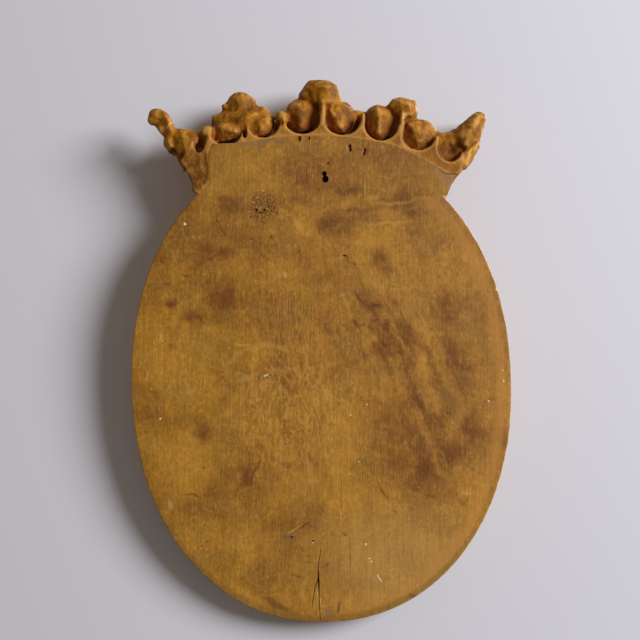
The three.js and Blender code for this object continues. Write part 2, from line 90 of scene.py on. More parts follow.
SEAT = oval_top(FOOT_HALF)
BAND_ARCH = OVAL_HEIGHT / 2 + CROWN_RISE - BAND_HEIGHT - SEAT
CORONET_FRAME = Matrix.Translation((1.3, 0, SEAT)) @ Matrix.Rotation(math.radians(-1.5), 4, "Y")
BACK_UP = Matrix.Rotation(OVAL_LEAN, 4, "Y")


def band_foot(x):
    return BAND_ARCH * (1 - (x / FOOT_HALF) ** 2)


def band_top(x):
    return band_foot(x) + BAND_HEIGHT


def band_half(height):
    return FOOT_HALF + BAND_FLARE * height / BAND_HEIGHT


SEAM_BELOW = 3
SEAM_LEVEL_HALF = 90
SEAM_SLANT = 14


def seam(x):
    """The glue line between the board's tongue and the coronet, as the back shows it."""
    share = max(0, (abs(x) - SEAM_LEVEL_HALF) / (FOOT_HALF - SEAM_LEVEL_HALF)) ** 1.4
    return band_top(x) - SEAM_BELOW + math.copysign(SEAM_SLANT, x) * share


print("the circlet sits", round(SEAT), "mm over the middle and arches", round(BAND_ARCH), "mm")

# %% [markdown]
# ## Helpers for shaping
# A bmesh is Blender's editable mesh. Each helper starts one from an outline or a ball, and the
# boolean modifier joins or cuts whole bodies, as saw and glue do.


# %% Bodies, joins and cuts
def body_from(bm, name, bare=0.0):
    """Turns a bmesh into an object. Its faces point outwards, and bare marks unpainted ones."""
    bmesh.ops.recalc_face_normals(bm, faces=bm.faces)
    mesh = bpy.data.meshes.new(name)
    bm.to_mesh(mesh)
    bm.free()
    layer = mesh.attributes.new("bare", "FLOAT", "FACE")
    layer.data.foreach_set("value", [bare] * len(mesh.polygons))
    body = bpy.data.objects.new(name, mesh)
    bpy.context.scene.collection.objects.link(body)
    return body


def bake_modifiers(body):
    graph = bpy.context.evaluated_depsgraph_get()
    mesh = bpy.data.meshes.new_from_object(body.evaluated_get(graph))
    body.modifiers.clear()
    old = body.data
    body.data = mesh
    bpy.data.meshes.remove(old)


def combine(body, tool, operation):
    """Joins, cuts or intersects body with tool, and uses the tool up."""
    boolean = body.modifiers.new(operation, "BOOLEAN")
    boolean.operation = operation
    boolean.solver = "MANIFOLD"
    boolean.object = tool
    bake_modifiers(body)
    bpy.data.objects.remove(tool)


def slab(outline, back, depth):
    """A flat outline in X and Z, made solid from y = back forwards to y = back - depth."""
    bm = bmesh.new()
    face = bm.faces.new([bm.verts.new((x, back, z)) for x, z in outline])
    grown = bmesh.ops.extrude_face_region(bm, geom=[face])
    moved = [part for part in grown["geom"] if isinstance(part, bmesh.types.BMVert)]
    bmesh.ops.translate(bm, vec=(0, -depth, 0), verts=moved)
    return bm


def spun(section, axis, steps):
    """A closed body, spun full circle about an axis from the points of its section."""
    bm = bmesh.new()
    points = [bm.verts.new(point) for point in section]
    edges = [bm.edges.new(pair) for pair in zip(points, points[1:])]
    bmesh.ops.spin(
        bm,
        geom=points + edges,
        cent=(0, 0, 0),
        axis=axis,
        angle=2 * math.pi,
        steps=steps,
        use_merge=True,
    )
    bmesh.ops.remove_doubles(bm, verts=bm.verts, dist=0.001)
    return bm


def slice_at(bm, spot, normal, dist=0.0):
    """Scores every face that crosses a plane, and leaves the shape as it is."""
    everything = bm.verts[:] + bm.edges[:] + bm.faces[:]
    bmesh.ops.bisect_plane(bm, geom=everything, plane_co=spot, plane_no=normal, dist=dist)


def placed(bm, matrix):
    bmesh.ops.transform(bm, matrix=matrix, verts=bm.verts)
    return bm


def cut_all(body, tools):
    """Joins the tools into one, and cuts that out of body."""
    for extra in tools[1:]:
        combine(tools[0], extra, "UNION")
    combine(body, tools[0], "DIFFERENCE")


# %% [markdown]
# ## The board
# A lathe can't turn this oval, but it can turn a round one. So the section of rim, quirk and
# domed field is spun into a round board, and each ring of it is then eased to the oval. The rim
# keeps its width all the way round, as on the real one.


# %% Spin the section and ease it to the oval
def oval_point(inset, turn):
    power = 2 / OVAL_FULLNESS
    across, up = math.cos(turn), math.sin(turn)
    return (
        (OVAL_WIDTH / 2 - inset) * math.copysign(abs(across) ** power, across),
        (OVAL_HEIGHT / 2 - inset) * math.copysign(abs(up) ** power, up),
    )


BORDER = RIM_WIDTH + QUIRK_WIDTH
FIELD_RADIUS = OVAL_WIDTH / 2 - BORDER
OVAL_STEPS = 200


def oval_body(section):
    """Spins a section, given as radius and level, round the Y axis and eases it to the oval."""
    bm = spun([(radius, -level, 0) for radius, level in section], (0, 1, 0), OVAL_STEPS)
    for vert in bm.verts:
        radius = math.hypot(vert.co.x, vert.co.z)
        inset = min(OVAL_WIDTH / 2 - radius, BORDER)
        x, z = oval_point(inset, math.atan2(vert.co.z, vert.co.x))
        share = min(radius / FIELD_RADIUS, 1)
        vert.co = (x * share, vert.co.y, z * share)
    return placed(bm, BACK_UP)


def dome(rise):
    shares = [1 - i / 12 for i in range(13)]
    level = THICKNESS + QUIRK_HEIGHT + rise
    return [(FIELD_RADIUS * share, level + DOME_RISE * (1 - share**2)) for share in shares]


def board_section():
    edge = OVAL_WIDTH / 2 - 0.5
    worn = [(edge - 1.8, 0), (edge - 0.7, 0.3), (edge - 0.15, 1.0), (edge, 2.2)]
    bead = []
    for i in range(1, 12):
        turn = math.pi * i / 12
        across = RIM_WIDTH / 2 * (1 - math.cos(turn))
        bead.append((edge - across, THICKNESS + RIM_HEIGHT * math.sin(turn)))
    quirk = [(edge - RIM_WIDTH, THICKNESS + QUIRK_HEIGHT)]
    return [(0, 0), *worn, (edge, THICKNESS), *bead, *quirk, *dome(0)]


board = body_from(oval_body(board_section()), "oval_board_carved")
print("the spun board has", len(board.data.polygons), "faces")

# %% [markdown]
# The front isn't in the photograph, so it gets a plain old charge: a bend between two stars.
# A second dome, a little prouder than the field, is cut to their outlines and joined on.


# %% Carve the charge on the front
def star_outline(points, radius):
    outline = []
    for i in range(2 * points):
        reach = radius * (0.5 if i % 2 else 1)
        turn = math.pi * i / points
        outline.append((reach * math.sin(turn), reach * math.cos(turn)))
    return outline


BEND_LEAN = math.radians(52)
BEND_HALF = 33
STAR_POINTS = 6
STAR_RADIUS = 40
STAR_AWAY = 118
BEND_TURN = Matrix.Rotation(BEND_LEAN, 4, "Y")
bend = [(x * OVAL_HEIGHT, z * BEND_HALF) for x, z in ((-1, -1), (1, -1), (1, 1), (-1, 1))]
cutters = [placed(slab(bend, 0, 2 * THICKNESS), BEND_TURN)]
for side in (-1, 1):
    upright = Matrix.Rotation(-BEND_LEAN, 4, "Y")
    place = BEND_TURN @ Matrix.Translation((0, 0, side * STAR_AWAY)) @ upright
    star = slab(star_outline(STAR_POINTS, STAR_RADIUS), 0, 2 * THICKNESS)
    cutters.append(placed(star, place))
raised_section = [(0, THICKNESS / 2), (FIELD_RADIUS, THICKNESS / 2), *dome(CHARGE_RISE)]
for cutter in cutters:
    raised = body_from(oval_body(raised_section), "raised")
    combine(raised, body_from(cutter, "cutter"), "INTERSECT")
    combine(board, raised, "UNION")
print("with its charge the board has", len(board.data.polygons), "faces")

# %% [markdown]
# Above the oval the same plank runs on as a tongue, and the coronet is glued round it. On the
# low shoulder the tongue runs out to the edge and its corner is pared thin.


# %% Join the tongue and pare the low shoulder
TONGUE_SIDE = 142.5


def tongue_outline(grow, beyond):
    """The tongue, grown at its seam and run on beyond the low shoulder."""
    outline = [(-TONGUE_SIDE, -SEAT / 2), (-FOOT_HALF - beyond, -1.5)]
    outline.append((-band_half(seam(-FOOT_HALF)) - beyond, seam(-FOOT_HALF) + grow))
    x = -FOOT_HALF
    while x < TONGUE_SIDE - 6:
        outline.append((x, seam(x) + grow))
        x += 4
    outline.append((TONGUE_SIDE - 4, seam(TONGUE_SIDE) + grow))
    outline.append((TONGUE_SIDE + grow, seam(TONGUE_SIDE) - 9))
    outline.append((TONGUE_SIDE + grow, -SEAT / 2))
    return outline


seat_outline = [(OVAL_WIDTH / 2, OVAL_HEIGHT / 2), (-OVAL_WIDTH / 2, OVAL_HEIGHT / 2)]
for i in range(81):
    x = OVAL_WIDTH * (i / 80 - 0.5)
    seat_outline.append((x, band_foot(x) - GLUE_GAP))
seat = placed(slab(seat_outline, -THICKNESS, CORONET_DEPTH), CORONET_FRAME)
combine(board, body_from(seat, "seat"), "DIFFERENCE")
tongue = placed(slab(tongue_outline(0, 0), 0, THICKNESS), CORONET_FRAME)
combine(board, body_from(tongue, "tongue"), "UNION")

PARING = 3.5
head = Vector((BAND_FLARE - FOOT_HALF, 0, seam(BAND_FLARE - FOOT_HALF)))
foot = Vector((-FOOT_HALF, 0, 0))
run = (head - foot).length
paring = bmesh.new()
bmesh.ops.create_cube(paring, size=1, matrix=Matrix.Diagonal((2 * run, PARING, run, 1)))
hinge = (
    CORONET_FRAME
    @ Matrix.Translation(head)
    @ Matrix.Rotation(math.atan2(head.z - foot.z, foot.x - head.x), 4, "Y")
    @ Matrix.Rotation(-math.atan(PARING / run), 4, "X")
    @ Matrix.Translation((run / 2, PARING / 2, -run / 2))
)
combine(board, body_from(placed(paring, hinge), "paring"), "DIFFERENCE")
print("with its tongue the board has", len(board.data.polygons), "faces")

# %% [markdown]
# ## Holes, cracks and chips in the back
# Their places are read off the photograph, which is 640 pixels wide. One pixel is 1.26 mm on
# the board's back, and the camera looks at the point 1.8 mm over and 80.5 mm up. It stands about
# 1205 mm away, so that a pixel shows a little more of what lies deeper.

# %% Places in the photograph
PIXEL = 1.26
MIDDLE_PIXEL = 320
LOOK_OVER = 1.8
LOOK_UP = 80.5
SIGHT = 1205


def in_view(across, down, depth=0):
    """The place at a depth behind the back that a pixel shows, in millimetres."""
    scale = PIXEL * (1 + depth / SIGHT)
    over = LOOK_OVER + (MIDDLE_PIXEL - across) * scale
    return Vector((over, -depth, LOOK_UP + (MIDDLE_PIXEL - down) * scale))


print("the middle of the photograph shows", in_view(MIDDLE_PIXEL, MIDDLE_PIXEL))

# %% [markdown]
# A pit is a ball pressed oval and sunk in the back. A crack is a wedge drawn from station to
# station, because a drying crack is widest at the surface and runs out at both ends.

# %% Pits and cracks
holes = []


def pit(across, down, width, height, deep):
    """An oval hollow in the back, for a lost knot, a flake or a worm hole."""
    bm = bmesh.new()
    bmesh.ops.create_uvsphere(bm, u_segments=14, v_segments=10, radius=0.5)
    shape = Matrix.Diagonal((width, 2 * deep, height, 1))
    place = Matrix.Translation(in_view(across, down))
    holes.append(body_from(placed(bm, place @ shape), "pit", 1.0))


def nearest(points, place):
    return min(points, key=lambda point: (point.co - place).length)


def crack(stations, deep, bare):
    """A wedge-shaped split along stations of across, down and width, widest at the surface."""
    bm = bmesh.new()
    corners = [bm.verts.new((i, 0, 0)) for i in range(3)]
    end = bm.faces.new(corners)
    for number, (across, down, width) in enumerate(stations):
        if number:
            grown = bmesh.ops.extrude_face_region(bm, geom=[end])["geom"]
            if number > 1:
                bm.faces.remove(end)
            end = next(part for part in grown if isinstance(part, bmesh.types.BMFace))
            fresh = [part for part in grown if isinstance(part, bmesh.types.BMVert)]
            corners = [nearest(fresh, corner.co) for corner in corners]
        before = in_view(*stations[max(number - 1, 0)][:2])
        after = in_view(*stations[min(number + 1, len(stations) - 1)][:2])
        side = (after - before).normalized().cross(Vector((0, 1, 0))) * width * 0.7
        middle = in_view(across, down)
        over = Vector((0, 1, 0))
        spots = (middle + side + over, middle - side + over, middle - over * deep)
        for corner, spot in zip(corners, spots):
            corner.co = spot
    holes.append(body_from(bm, "crack", bare))


# %% [markdown]
# Two nail holes that run into each other, three splinters lost at the seam, a knot with its
# heart fallen out, worm holes, and the long drying cracks at the foot of the grain.

# %% Cut the holes
NAIL_DEPTH = 14
PIT_DEPTH = 3
WORM_DEPTH = 1.2
PITS = (
    (299.6, 138.6, 3.8, 7), (350, 146.4, 3.8, 6.5), (350.4, 149.6, 3.6, 5.5), (364.8, 150, 3, 5),
    (364, 153, 3.2, 5), (309.3, 138.2, 2.6, 5), (256.4, 210, 3.6, 3.4), (264.3, 210, 4.2, 2.8),
    (260.3, 212.6, 2.8, 2.4), (253.2, 198, 1.6, 2), (268.6, 206.5, 2.0, 2.6), (272, 203.5, 1.6, 1.4),
    (250.5, 216.5, 1.6, 2), (328, 163, 2.4, 3), (291.6, 537, 4.4, 2.2), (313.2, 541, 3.2, 2.6),
    (344.5, 255.5, 5, 1.8),
)  # fmt: skip
WORM_HOLES = (
    (315, 247), (299.4, 251.4), (324.7, 206.7), (251.4, 239), (270.3, 237), (354, 262.7),
    (350, 210), (302, 548), (308, 556), (379, 484), (165.5, 341), (384, 360), (313, 168),
    (301, 176), (319.5, 190), (412, 356), (488, 291.5), (346, 535.5), (222, 372), (240, 467),
)  # fmt: skip
for across, down, width in ((324.4, 173.6, 6.2), (325.4, 179, 8.4)):
    pit(across, down, width, width * 1.08, NAIL_DEPTH)
for across, down, width, height in PITS:
    pit(across, down, width, height, PIT_DEPTH)
for across, down in WORM_HOLES:
    pit(across, down, 1.4, 1.6, WORM_DEPTH)
print("made", len(holes), "holes")

# %% Cut the cracks
CRACKS = (
    (5, 1.0, ((321.2, 546, 0.3), (319.6, 557, 0.7), (318, 567, 0.9), (318.5, 580.5, 2.0),
              (319, 592, 1.0), (319.3, 604, 0.9), (320.4, 621, 0.5))),
    (4, 1.0, ((318.3, 577, 1.0), (315, 588, 0.9), (312.8, 601, 0.8), (311.9, 609, 0.3))),
    (1.2, 0.6, ((291, 574.5, 0.5), (297, 576, 1.0), (302.5, 578.8, 0.5))),
    (1.2, 0.6, ((305.4, 561.4, 0.6), (309, 562.8, 1.1), (313.4, 562.4, 0.5))),
    (1.2, 0.6, ((321, 567.4, 0.4), (326, 566, 0.9), (330, 562.4, 0.4))),
    (1, 0.5, ((341.4, 478, 0.4), (341.2, 495, 0.8), (341.6, 512, 0.5))),
    (1, 0.4, ((349, 537, 0.4), (350.4, 562, 0.7), (351, 588, 0.4))),
    (1, 0.4, ((364.8, 171, 0.4), (363.6, 184, 0.8), (362.8, 199, 0.4))),
    (1, 0.5, ((219.4, 226, 0.4), (223, 232, 0.8), (228.4, 238.5, 0.4))),
    (1, 0.5, ((256, 247, 0.4), (260.6, 253, 0.9), (265, 259, 0.4))),
    (1.6, 0.5, ((300, 529, 0.5), (304.6, 524.8, 1.6), (310, 522, 0.5))),
    (1, 0.4, ((377.4, 481, 0.4), (383.4, 494, 1.0), (390.4, 504, 0.4))),
)  # fmt: skip
for deep, bare, stations in CRACKS:
    crack(stations, deep, bare)
cut_all(board, holes)
print("with its holes and cracks the board has", len(board.data.polygons), "faces")

# %% [markdown]
# ## Planing marks
# A hand plane leaves a back that is flat to the eye but not to the finger. The back is divided
# into a grid first, so that a slow waviness has points to move. The noise is given a seed, since
# its vectors otherwise start from the clock.


# %% Divide the board into a grid
def divide(body, step, lows, highs, axes):
    bm = bmesh.new()
    bm.from_mesh(body.data)
    for axis in axes:
        normal = Vector((0, 0, 0))
        normal[axis] = 1
        for i in range(1, int((highs[axis] - lows[axis]) / step)):
            slice_at(bm, normal * (lows[axis] + i * step), normal, 0.01)
    bmesh.ops.dissolve_degenerate(bm, dist=0.002, edges=bm.edges)
    bm.to_mesh(body.data)
    bm.free()


GRID = 8
divide(board, GRID, lows=(-240, 0, -302), highs=(240, 0, 314), axes=(0, 2))
print("divided, the board has", len(board.data.polygons), "faces")


# %% Let the surface wander a little
NOISE_SEED = 11
noise.seed_set(NOISE_SEED)


def wander(place, reach, size):
    """A slow, steady drift that a hand tool leaves, at most about reach millimetres."""
    return reach * noise.noise_vector(place / size)


for vert in board.data.vertices:
    drift = wander(vert.co, 0.4, 70) + wander(vert.co, 0.3, 23)
    if vert.co.z > 180:
        drift.x = drift.z = 0
    vert.co += drift
    vert.co.y = min(vert.co.y, 0)
print("the back wanders through", len(board.data.vertices), "points")

# %% [markdown]
# ## The coronet's block
# The circlet is half of a flared ring with a bead at its foot and top, bent to the arch. Its
# back wall is one flat outline: U-shaped pockets scooped out between narrow prongs.

# %% Spin the circlet and bend it to the arch
BEAD_HEIGHT = 10
BEAD_SWELL = 4
CIRCLET_STEPS = 120
DEPTH_SHARE = CORONET_DEPTH / band_half(BAND_HEIGHT)


def circlet():
    section = [(0, 0), (band_half(0), 0)]
    for low in (0, BAND_HEIGHT - BEAD_HEIGHT):
        for i in range(9):
            height = low + BEAD_HEIGHT * i / 8
            section.append((band_half(height) + BEAD_SWELL * math.sin(math.pi * i / 8), height))
    section.append((0, BAND_HEIGHT))
    bm = spun([(radius, 0, height) for radius, height in section], (0, 0, 1), CIRCLET_STEPS)
    for i in range(1, 16):
        slice_at(bm, (2 * FOOT_HALF * (i / 8 - 1), 0, 0), (1, 0, 0))
    for vert in bm.verts:
        vert.co.y = min(vert.co.y * DEPTH_SHARE, 0)
        vert.co.z += band_foot(vert.co.x)
    return bm


# %% Draw the back wall with its prongs and pockets
PLACES = (-145.5, -98, -51, 0, 51, 98, 145.5)
PRONG_HEIGHTS = (26, 23, 31, 36, 12, 3, 12)
PRONG_DEPTH = 14
PRONG_WIDTH = 5
POCKET_ROUND = 20
LOW_END_POCKET = (-162.5, 15)
HIGH_END_POCKET = (155, 8.5)
END_RISE = 12


def scoop(x, half, low, left_top, right_top):
    """One pocket's edge, from its left prong's tip round its floor to the right one's."""
    outline = [(x - half, left_top)]
    for i in range(13):
        turn = math.pi * i / 12
        outline.append((x - half * math.cos(turn), low + POCKET_ROUND * (1 - math.sin(turn))))
    return [*outline, (x + half, right_top)]


def back_wall():
    end = band_half(BAND_HEIGHT)
    outline = [(FOOT_HALF, 0), (FOOT_HALF - 3, -6), (TONGUE_SIDE - 6, -6), (-FOOT_HALF, 0)]
    outline.append((-end, band_top(end)))
    tips = [band_top(x) + height for x, height in zip(PLACES, PRONG_HEIGHTS)]
    x, half = LOW_END_POCKET
    outline += scoop(x, half, band_top(x), band_top(x) + END_RISE, tips[0])
    for i in range(len(PLACES) - 1):
        middle = (PLACES[i] + PLACES[i + 1]) / 2
        half = (PLACES[i + 1] - PLACES[i] - PRONG_WIDTH) / 2
        outline += scoop(middle, half, band_top(middle), tips[i], tips[i + 1])
    x, half = HIGH_END_POCKET
    outline += scoop(x, half, band_top(x), tips[-1], band_top(x) + END_RISE)
    outline.append((end, band_top(end)))
    return slab(outline, 0, PRONG_DEPTH)


# %% [markdown]
# ## Leaves, pearls and end leaves
# A carver rounds each lobe of a leaf from the block. Here each lobe starts as a ball that is
# drawn out along a bent spine, which gives its length, its curl and its fullness at once.


# %% Pare a ball with the knife, and draw it out along a spine
KNIFE_SEED = 11
KNIFE = random.Random(KNIFE_SEED)


def pare(bm, strokes, bite):
    """Takes thin flat slices off a ball of radius 1, from all sides."""
    for _ in range(strokes):
        side = Vector((KNIFE.gauss(0, 1), KNIFE.gauss(0, 1), KNIFE.gauss(0, 1))).normalized()
        level = 1 - bite * KNIFE.uniform(0.35, 1)
        for vert in bm.verts:
            over = vert.co.dot(side) - level
            if over > 0:
                vert.co -= side * over


def lobe(spine, width, thick, fullness=1.6):
    """A lobe along three points of a spine. A fullness of 1 gives it a sharp ridge, 2 a round."""
    start, bow, tip = (Vector(point) for point in spine)
    bm = bmesh.new()
    bmesh.ops.create_uvsphere(bm, u_segments=24, v_segments=16, radius=1)
    pare(bm, strokes=24, bite=0.2)
    for vert in bm.verts:
        share = (1 + vert.co.z) / 2
        middle = start * (1 - share) ** 2 + bow * 2 * share * (1 - share) + tip * share**2
        along = ((bow - start) * (1 - share) + (tip - bow) * share).normalized()
        side = (Vector((1, 0, 0)) - along * along.x).normalized()
        girth = math.hypot(vert.co.x, vert.co.y)
        turn = math.atan2(vert.co.y, vert.co.x)
        wide = math.copysign(abs(math.cos(turn)) ** (2 / fullness), math.cos(turn))
        deep = math.copysign(abs(math.sin(turn)) ** (2 / fullness), math.sin(turn))
        vert.co = middle + side * wide * girth * width + side.cross(along) * deep * girth * thick
    return bm


LEAF_HEIGHT = 71.5
LEAF_HALF = 43
LEAF_DEPTH = 52
SIDE_LEAF_SIZE = 0.88


def leaf_lobe(x, shares, side=1, size=1.0, lean=0.0, skew=0.0):
    """A lobe of the leaf that stands at x, from shares of the leaf's half-width and height."""
    spine, width, thick, fullness = shares
    points = [
        (side * a * LEAF_HALF, -b * LEAF_DEPTH, (c + side * skew) * LEAF_HEIGHT) for a, b, c in spine
    ]
    bm = lobe(points, width * LEAF_HALF, thick * LEAF_DEPTH, fullness)
    turn = Matrix.Rotation(math.radians(lean), 4, "Y")
    return placed(bm, Matrix.Translation((x, 0, band_top(x))) @ turn @ Matrix.Scale(size, 4))


STEM = (
    (((0, 0.02, -0.1), (0, 0.02, 0.5), (0, 0.5, 0.95)), 0.11, 0.12, 1.5),
    (((0, 0.6, -0.2), (0, 0.62, 0.4), (0, 0.75, 0.98)), 0.42, 0.4, 1.5),
    (((0, 1.0, -0.1), (0, 1.3, 0.35), (0, 0.95, 0.8)), 0.3, 0.16, 1.5),
)
HEAD = (((0.02, 0.4, 0.3), (0.03, 0.6, 0.98), (0.0, 1.02, 0.74)), 0.44, 0.28, 2.0)
EGG = (((0.42, 0.95, 0.02), (0.66, 0.5, 0.4), (0.6, 0.85, 0.7)), 0.4, 0.26, 1.5)
FRONT_LOBE = (((0.3, 0.9, -0.1), (0.95, 1.15, 0.1), (0.98, 0.8, 0.54)), 0.3, 0.22, 1.5)
HEAP = (
    (((0.2, 0.6, -0.2), (0.2, 0.62, 0.4), (0.24, 0.75, 0.86)), 0.36, 0.4, 2.0),
    (((0.17, 0.7, 0.2), (0.17, 0.6, 0.5), (0.17, 0.8, 0.8)), 0.56, 0.26, 2.0),
    (((0.14, 0.9, 0.1), (0.14, 0.6, 0.4), (0.14, 0.9, 0.64)), 0.8, 0.26, 2.0),
)


def open_leaf(x, size, lean, skew):
    parts = [leaf_lobe(x, shares, 1, size, lean) for shares in (*STEM, HEAD)]
    for side in (1, -1):
        for shares in (EGG, FRONT_LOBE):
            parts.append(leaf_lobe(x, shares, side, size, lean, skew))
    return parts


def full_leaf(x, size):
    parts = [leaf_lobe(x, shares, 1, size) for shares in (STEM[-1], *HEAP)]
    return parts + [leaf_lobe(x, FRONT_LOBE, side, size) for side in (1, -1)]


# %% End leaves and pearls
HORN_HEIGHT = 72
HORN_REACH = 30
CURLED_HORN = (
    (((-0.02, 0.4, -0.2), (-0.2, 0.3, 0.3), (-0.06, 0.46, 0.56)), 0.56, 0.2),
    (((-0.17, 0.4, 0.1), (0.24, 0.3, 0.38), (0.7, 0.3, 0.64)), 0.24, 0.12),
    (((-0.1, 0.4, 0.1), (-0.4, 0.3, 0.3), (-0.2, 0.4, 0.5)), 0.36, 0.2),
    (((0.2, 0.4, 0.04), (0.6, 0.3, 0.2), (0.56, 0.4, 0.36)), 0.24, 0.14),
)
POINTED_HORN = (
    (((-0.57, 0.5, -0.32), (0.0, 0.4, 0.3), (0.8, 0.5, 0.9)), 0.46, 0.16),
    (((-1.2, 0.5, 0.2), (-0.5, 0.5, 0.5), (0.3, 0.5, 0.8)), 0.36, 0.16),
    (((-0.8, 0.6, -0.3), (-0.8, 0.5, 0.2), (-0.7, 0.55, 0.7)), 0.7, 0.12),
)


def horn(lobes, side):
    root = band_half(BAND_HEIGHT)
    parts = []
    for spine, width, thick in lobes:
        points = [
            (side * (root + a * HORN_REACH), -b * CORONET_DEPTH, band_top(root) + c * HORN_HEIGHT)
            for a, b, c in spine
        ]
        parts.append(lobe(points, width * HORN_REACH, thick * CORONET_DEPTH, 1.35))
    return parts


PEARL_RADIUS = 8.5


def pearl(x, forwards, rise):
    middle = band_top(x) + rise
    ball = bmesh.new()
    place = Matrix.Translation((x, -forwards, middle))
    bmesh.ops.create_uvsphere(ball, u_segments=20, v_segments=14, radius=PEARL_RADIUS, matrix=place)
    stem = [
        (x, -forwards - PEARL_RADIUS, middle - 1.5 * rise),
        (x, -forwards, middle - rise / 2),
        (x, -forwards, middle + PEARL_RADIUS / 2),
    ]
    return [ball, lobe(stem, PEARL_RADIUS * 0.85, PEARL_RADIUS * 0.85, 1.7)]


def cabochon(x, length):
    half = band_half(BAND_HEIGHT / 2)
    front = DEPTH_SHARE * math.sqrt(half**2 - x**2)
    stone = bmesh.new()
    place = Matrix.Translation((x, -front, band_foot(x) + BAND_HEIGHT / 2))
    turn = Matrix.Rotation(math.atan2(x * DEPTH_SHARE, half), 4, "Z")
    shape = Matrix.Diagonal((length, 14, 16, 1))
    bmesh.ops.create_uvsphere(
        stone, u_segments=24, v_segments=14, radius=0.5, matrix=place @ turn @ shape
    )
    return stone


# %% [markdown]
# The petals that show from the back are blocked out as a carver does it, each with flat sides
# that meet in a ridge. Their outlines and ridges are read off the photograph, and a hull is
# stretched over both. Each point is pushed back to its depth along the camera's line of sight.
# Small rounds then scallop the outlines.


# %% Petals and scallops
SCALLOP_REACH = 1.6


def scallop(across, down, depth, radius):
    bm = bmesh.new()
    bmesh.ops.create_icosphere(bm, subdivisions=2, radius=radius)
    place = CORONET_FRAME.inverted() @ Matrix.Translation(in_view(across, down, depth))
    return placed(bm, place @ Matrix.Diagonal((1, SCALLOP_REACH, 1, 1)))


def petal(outline, depth, ridge, near, far):
    """A faceted lobe: its outline at a depth, its ridge nearer, a smaller outline far behind."""
    middle = sum((Vector(spot) for spot in outline), Vector((0, 0))) / len(outline)
    bm = bmesh.new()
    for spot in outline:
        bm.verts.new(in_view(*spot, depth))
        bm.verts.new(in_view(*middle.lerp(Vector(spot), 0.9), (depth + near) / 2))
        bm.verts.new(in_view(*middle.lerp(Vector(spot), 0.75), far))
    for spot in ridge:
        bm.verts.new(in_view(*spot, near))
    hull = bmesh.ops.convex_hull(bm, input=bm.verts)
    inside = [part for part in hull["geom_interior"] if isinstance(part, bmesh.types.BMVert)]
    bmesh.ops.delete(bm, geom=inside, context="VERTS")
    return placed(bm, CORONET_FRAME.inverted())


# %% Outlines and ridges of the petals
MIDDLE_LEAF = (
    (((308, 80.5), (320, 79.5), (331, 81), (337, 85.5), (339, 92), (341, 98), (340, 105),
      (326, 108), (312, 103.5), (302, 99), (300.5, 93.5), (303.5, 86)), 24,
     ((319, 86), (321, 104), (329, 86), (328, 102)), 8, 52),
    (((295, 99.5), (304, 98.5), (315, 102), (317.5, 110), (316, 122), (310.5, 131.5),
      (299, 134), (289.5, 128.5), (286.5, 118), (285.5, 110), (289, 103.5)), 26,
     ((297, 105), (299, 116), (300.5, 126)), 8, 50),
    (((327, 103), (345, 102.5), (350, 105), (355, 113), (356, 120), (352.5, 129), (345, 135),
      (334.5, 135), (326, 129.5), (323.5, 118), (323.5, 108)), 26,
     ((330, 109), (338, 118), (341, 128)), 8, 50),
)  # fmt: skip
RIGHT_LEAF = (
    (((387, 106), (390, 103), (395, 98), (401, 97), (410, 99.5), (415.5, 102), (417, 108),
      (417.5, 116), (411, 121), (400, 120), (391, 112)), 24,
     ((401, 102), (402, 117), (409, 103), (410, 115)), 9, 52),
    (((367.5, 109), (376, 104.5), (384, 106), (390, 110), (393.5, 118), (394, 128),
      (390.5, 136.5), (382, 142), (374, 141), (366, 132.5), (364.5, 120)), 26,
     ((378, 109), (380.5, 121), (379, 134)), 8, 50),
    (((402, 121), (413, 118.5), (424, 119), (432, 123), (436.5, 129), (436, 138), (431, 149.5),
      (421, 154), (410.5, 153), (402.5, 146.5), (400, 135)), 26,
     ((409, 123), (417, 129), (420, 146)), 8, 50),
)  # fmt: skip
LEFT_LEAF = (
    (((226.5, 102), (229, 96.5), (235, 92.5), (241, 91.5), (246.5, 93.5), (250, 99),
      (256.5, 100.5), (256.5, 108), (246, 114), (227, 113)), 28,
     ((238.5, 96), (240, 111)), 16, 54),
    (((221, 105), (228, 104), (240, 106), (240, 116), (222, 113)), 30, ((231, 109),), 20, 50),
    (((246, 106), (262, 106.5), (267.5, 108.5), (269.5, 115), (262, 121), (244, 118)), 28,
     ((259, 113),), 15, 48),
    (((211, 119), (215, 114.5), (223, 111.5), (240, 110), (262, 109), (270, 112.5), (274, 118),
      (274, 127), (271, 134), (262, 137), (240, 140), (226, 142), (215, 140.5), (211.5, 131)), 26,
     ((224, 123), (236, 117), (250, 113), (263, 117), (262, 128), (232, 132)), 8, 50),
    (((213, 127), (220, 121.5), (231, 120), (241, 122), (244.5, 131), (239, 139), (227, 142.5),
      (216.5, 142), (212.5, 134)), 17, ((222, 127), (234, 130)), 2, 40),
    (((250, 118), (258, 112.5), (268, 113), (273.5, 118), (273.5, 126), (271, 133.5),
      (263, 137), (253, 136), (247, 129)), 18, ((257, 121), (267, 120), (261, 130)), 6, 44),
    (((230, 124), (243, 114), (258, 111), (262, 115), (248, 124), (236, 129)), 16,
     ((240, 119), (252, 115)), 4, 36),
)  # fmt: skip
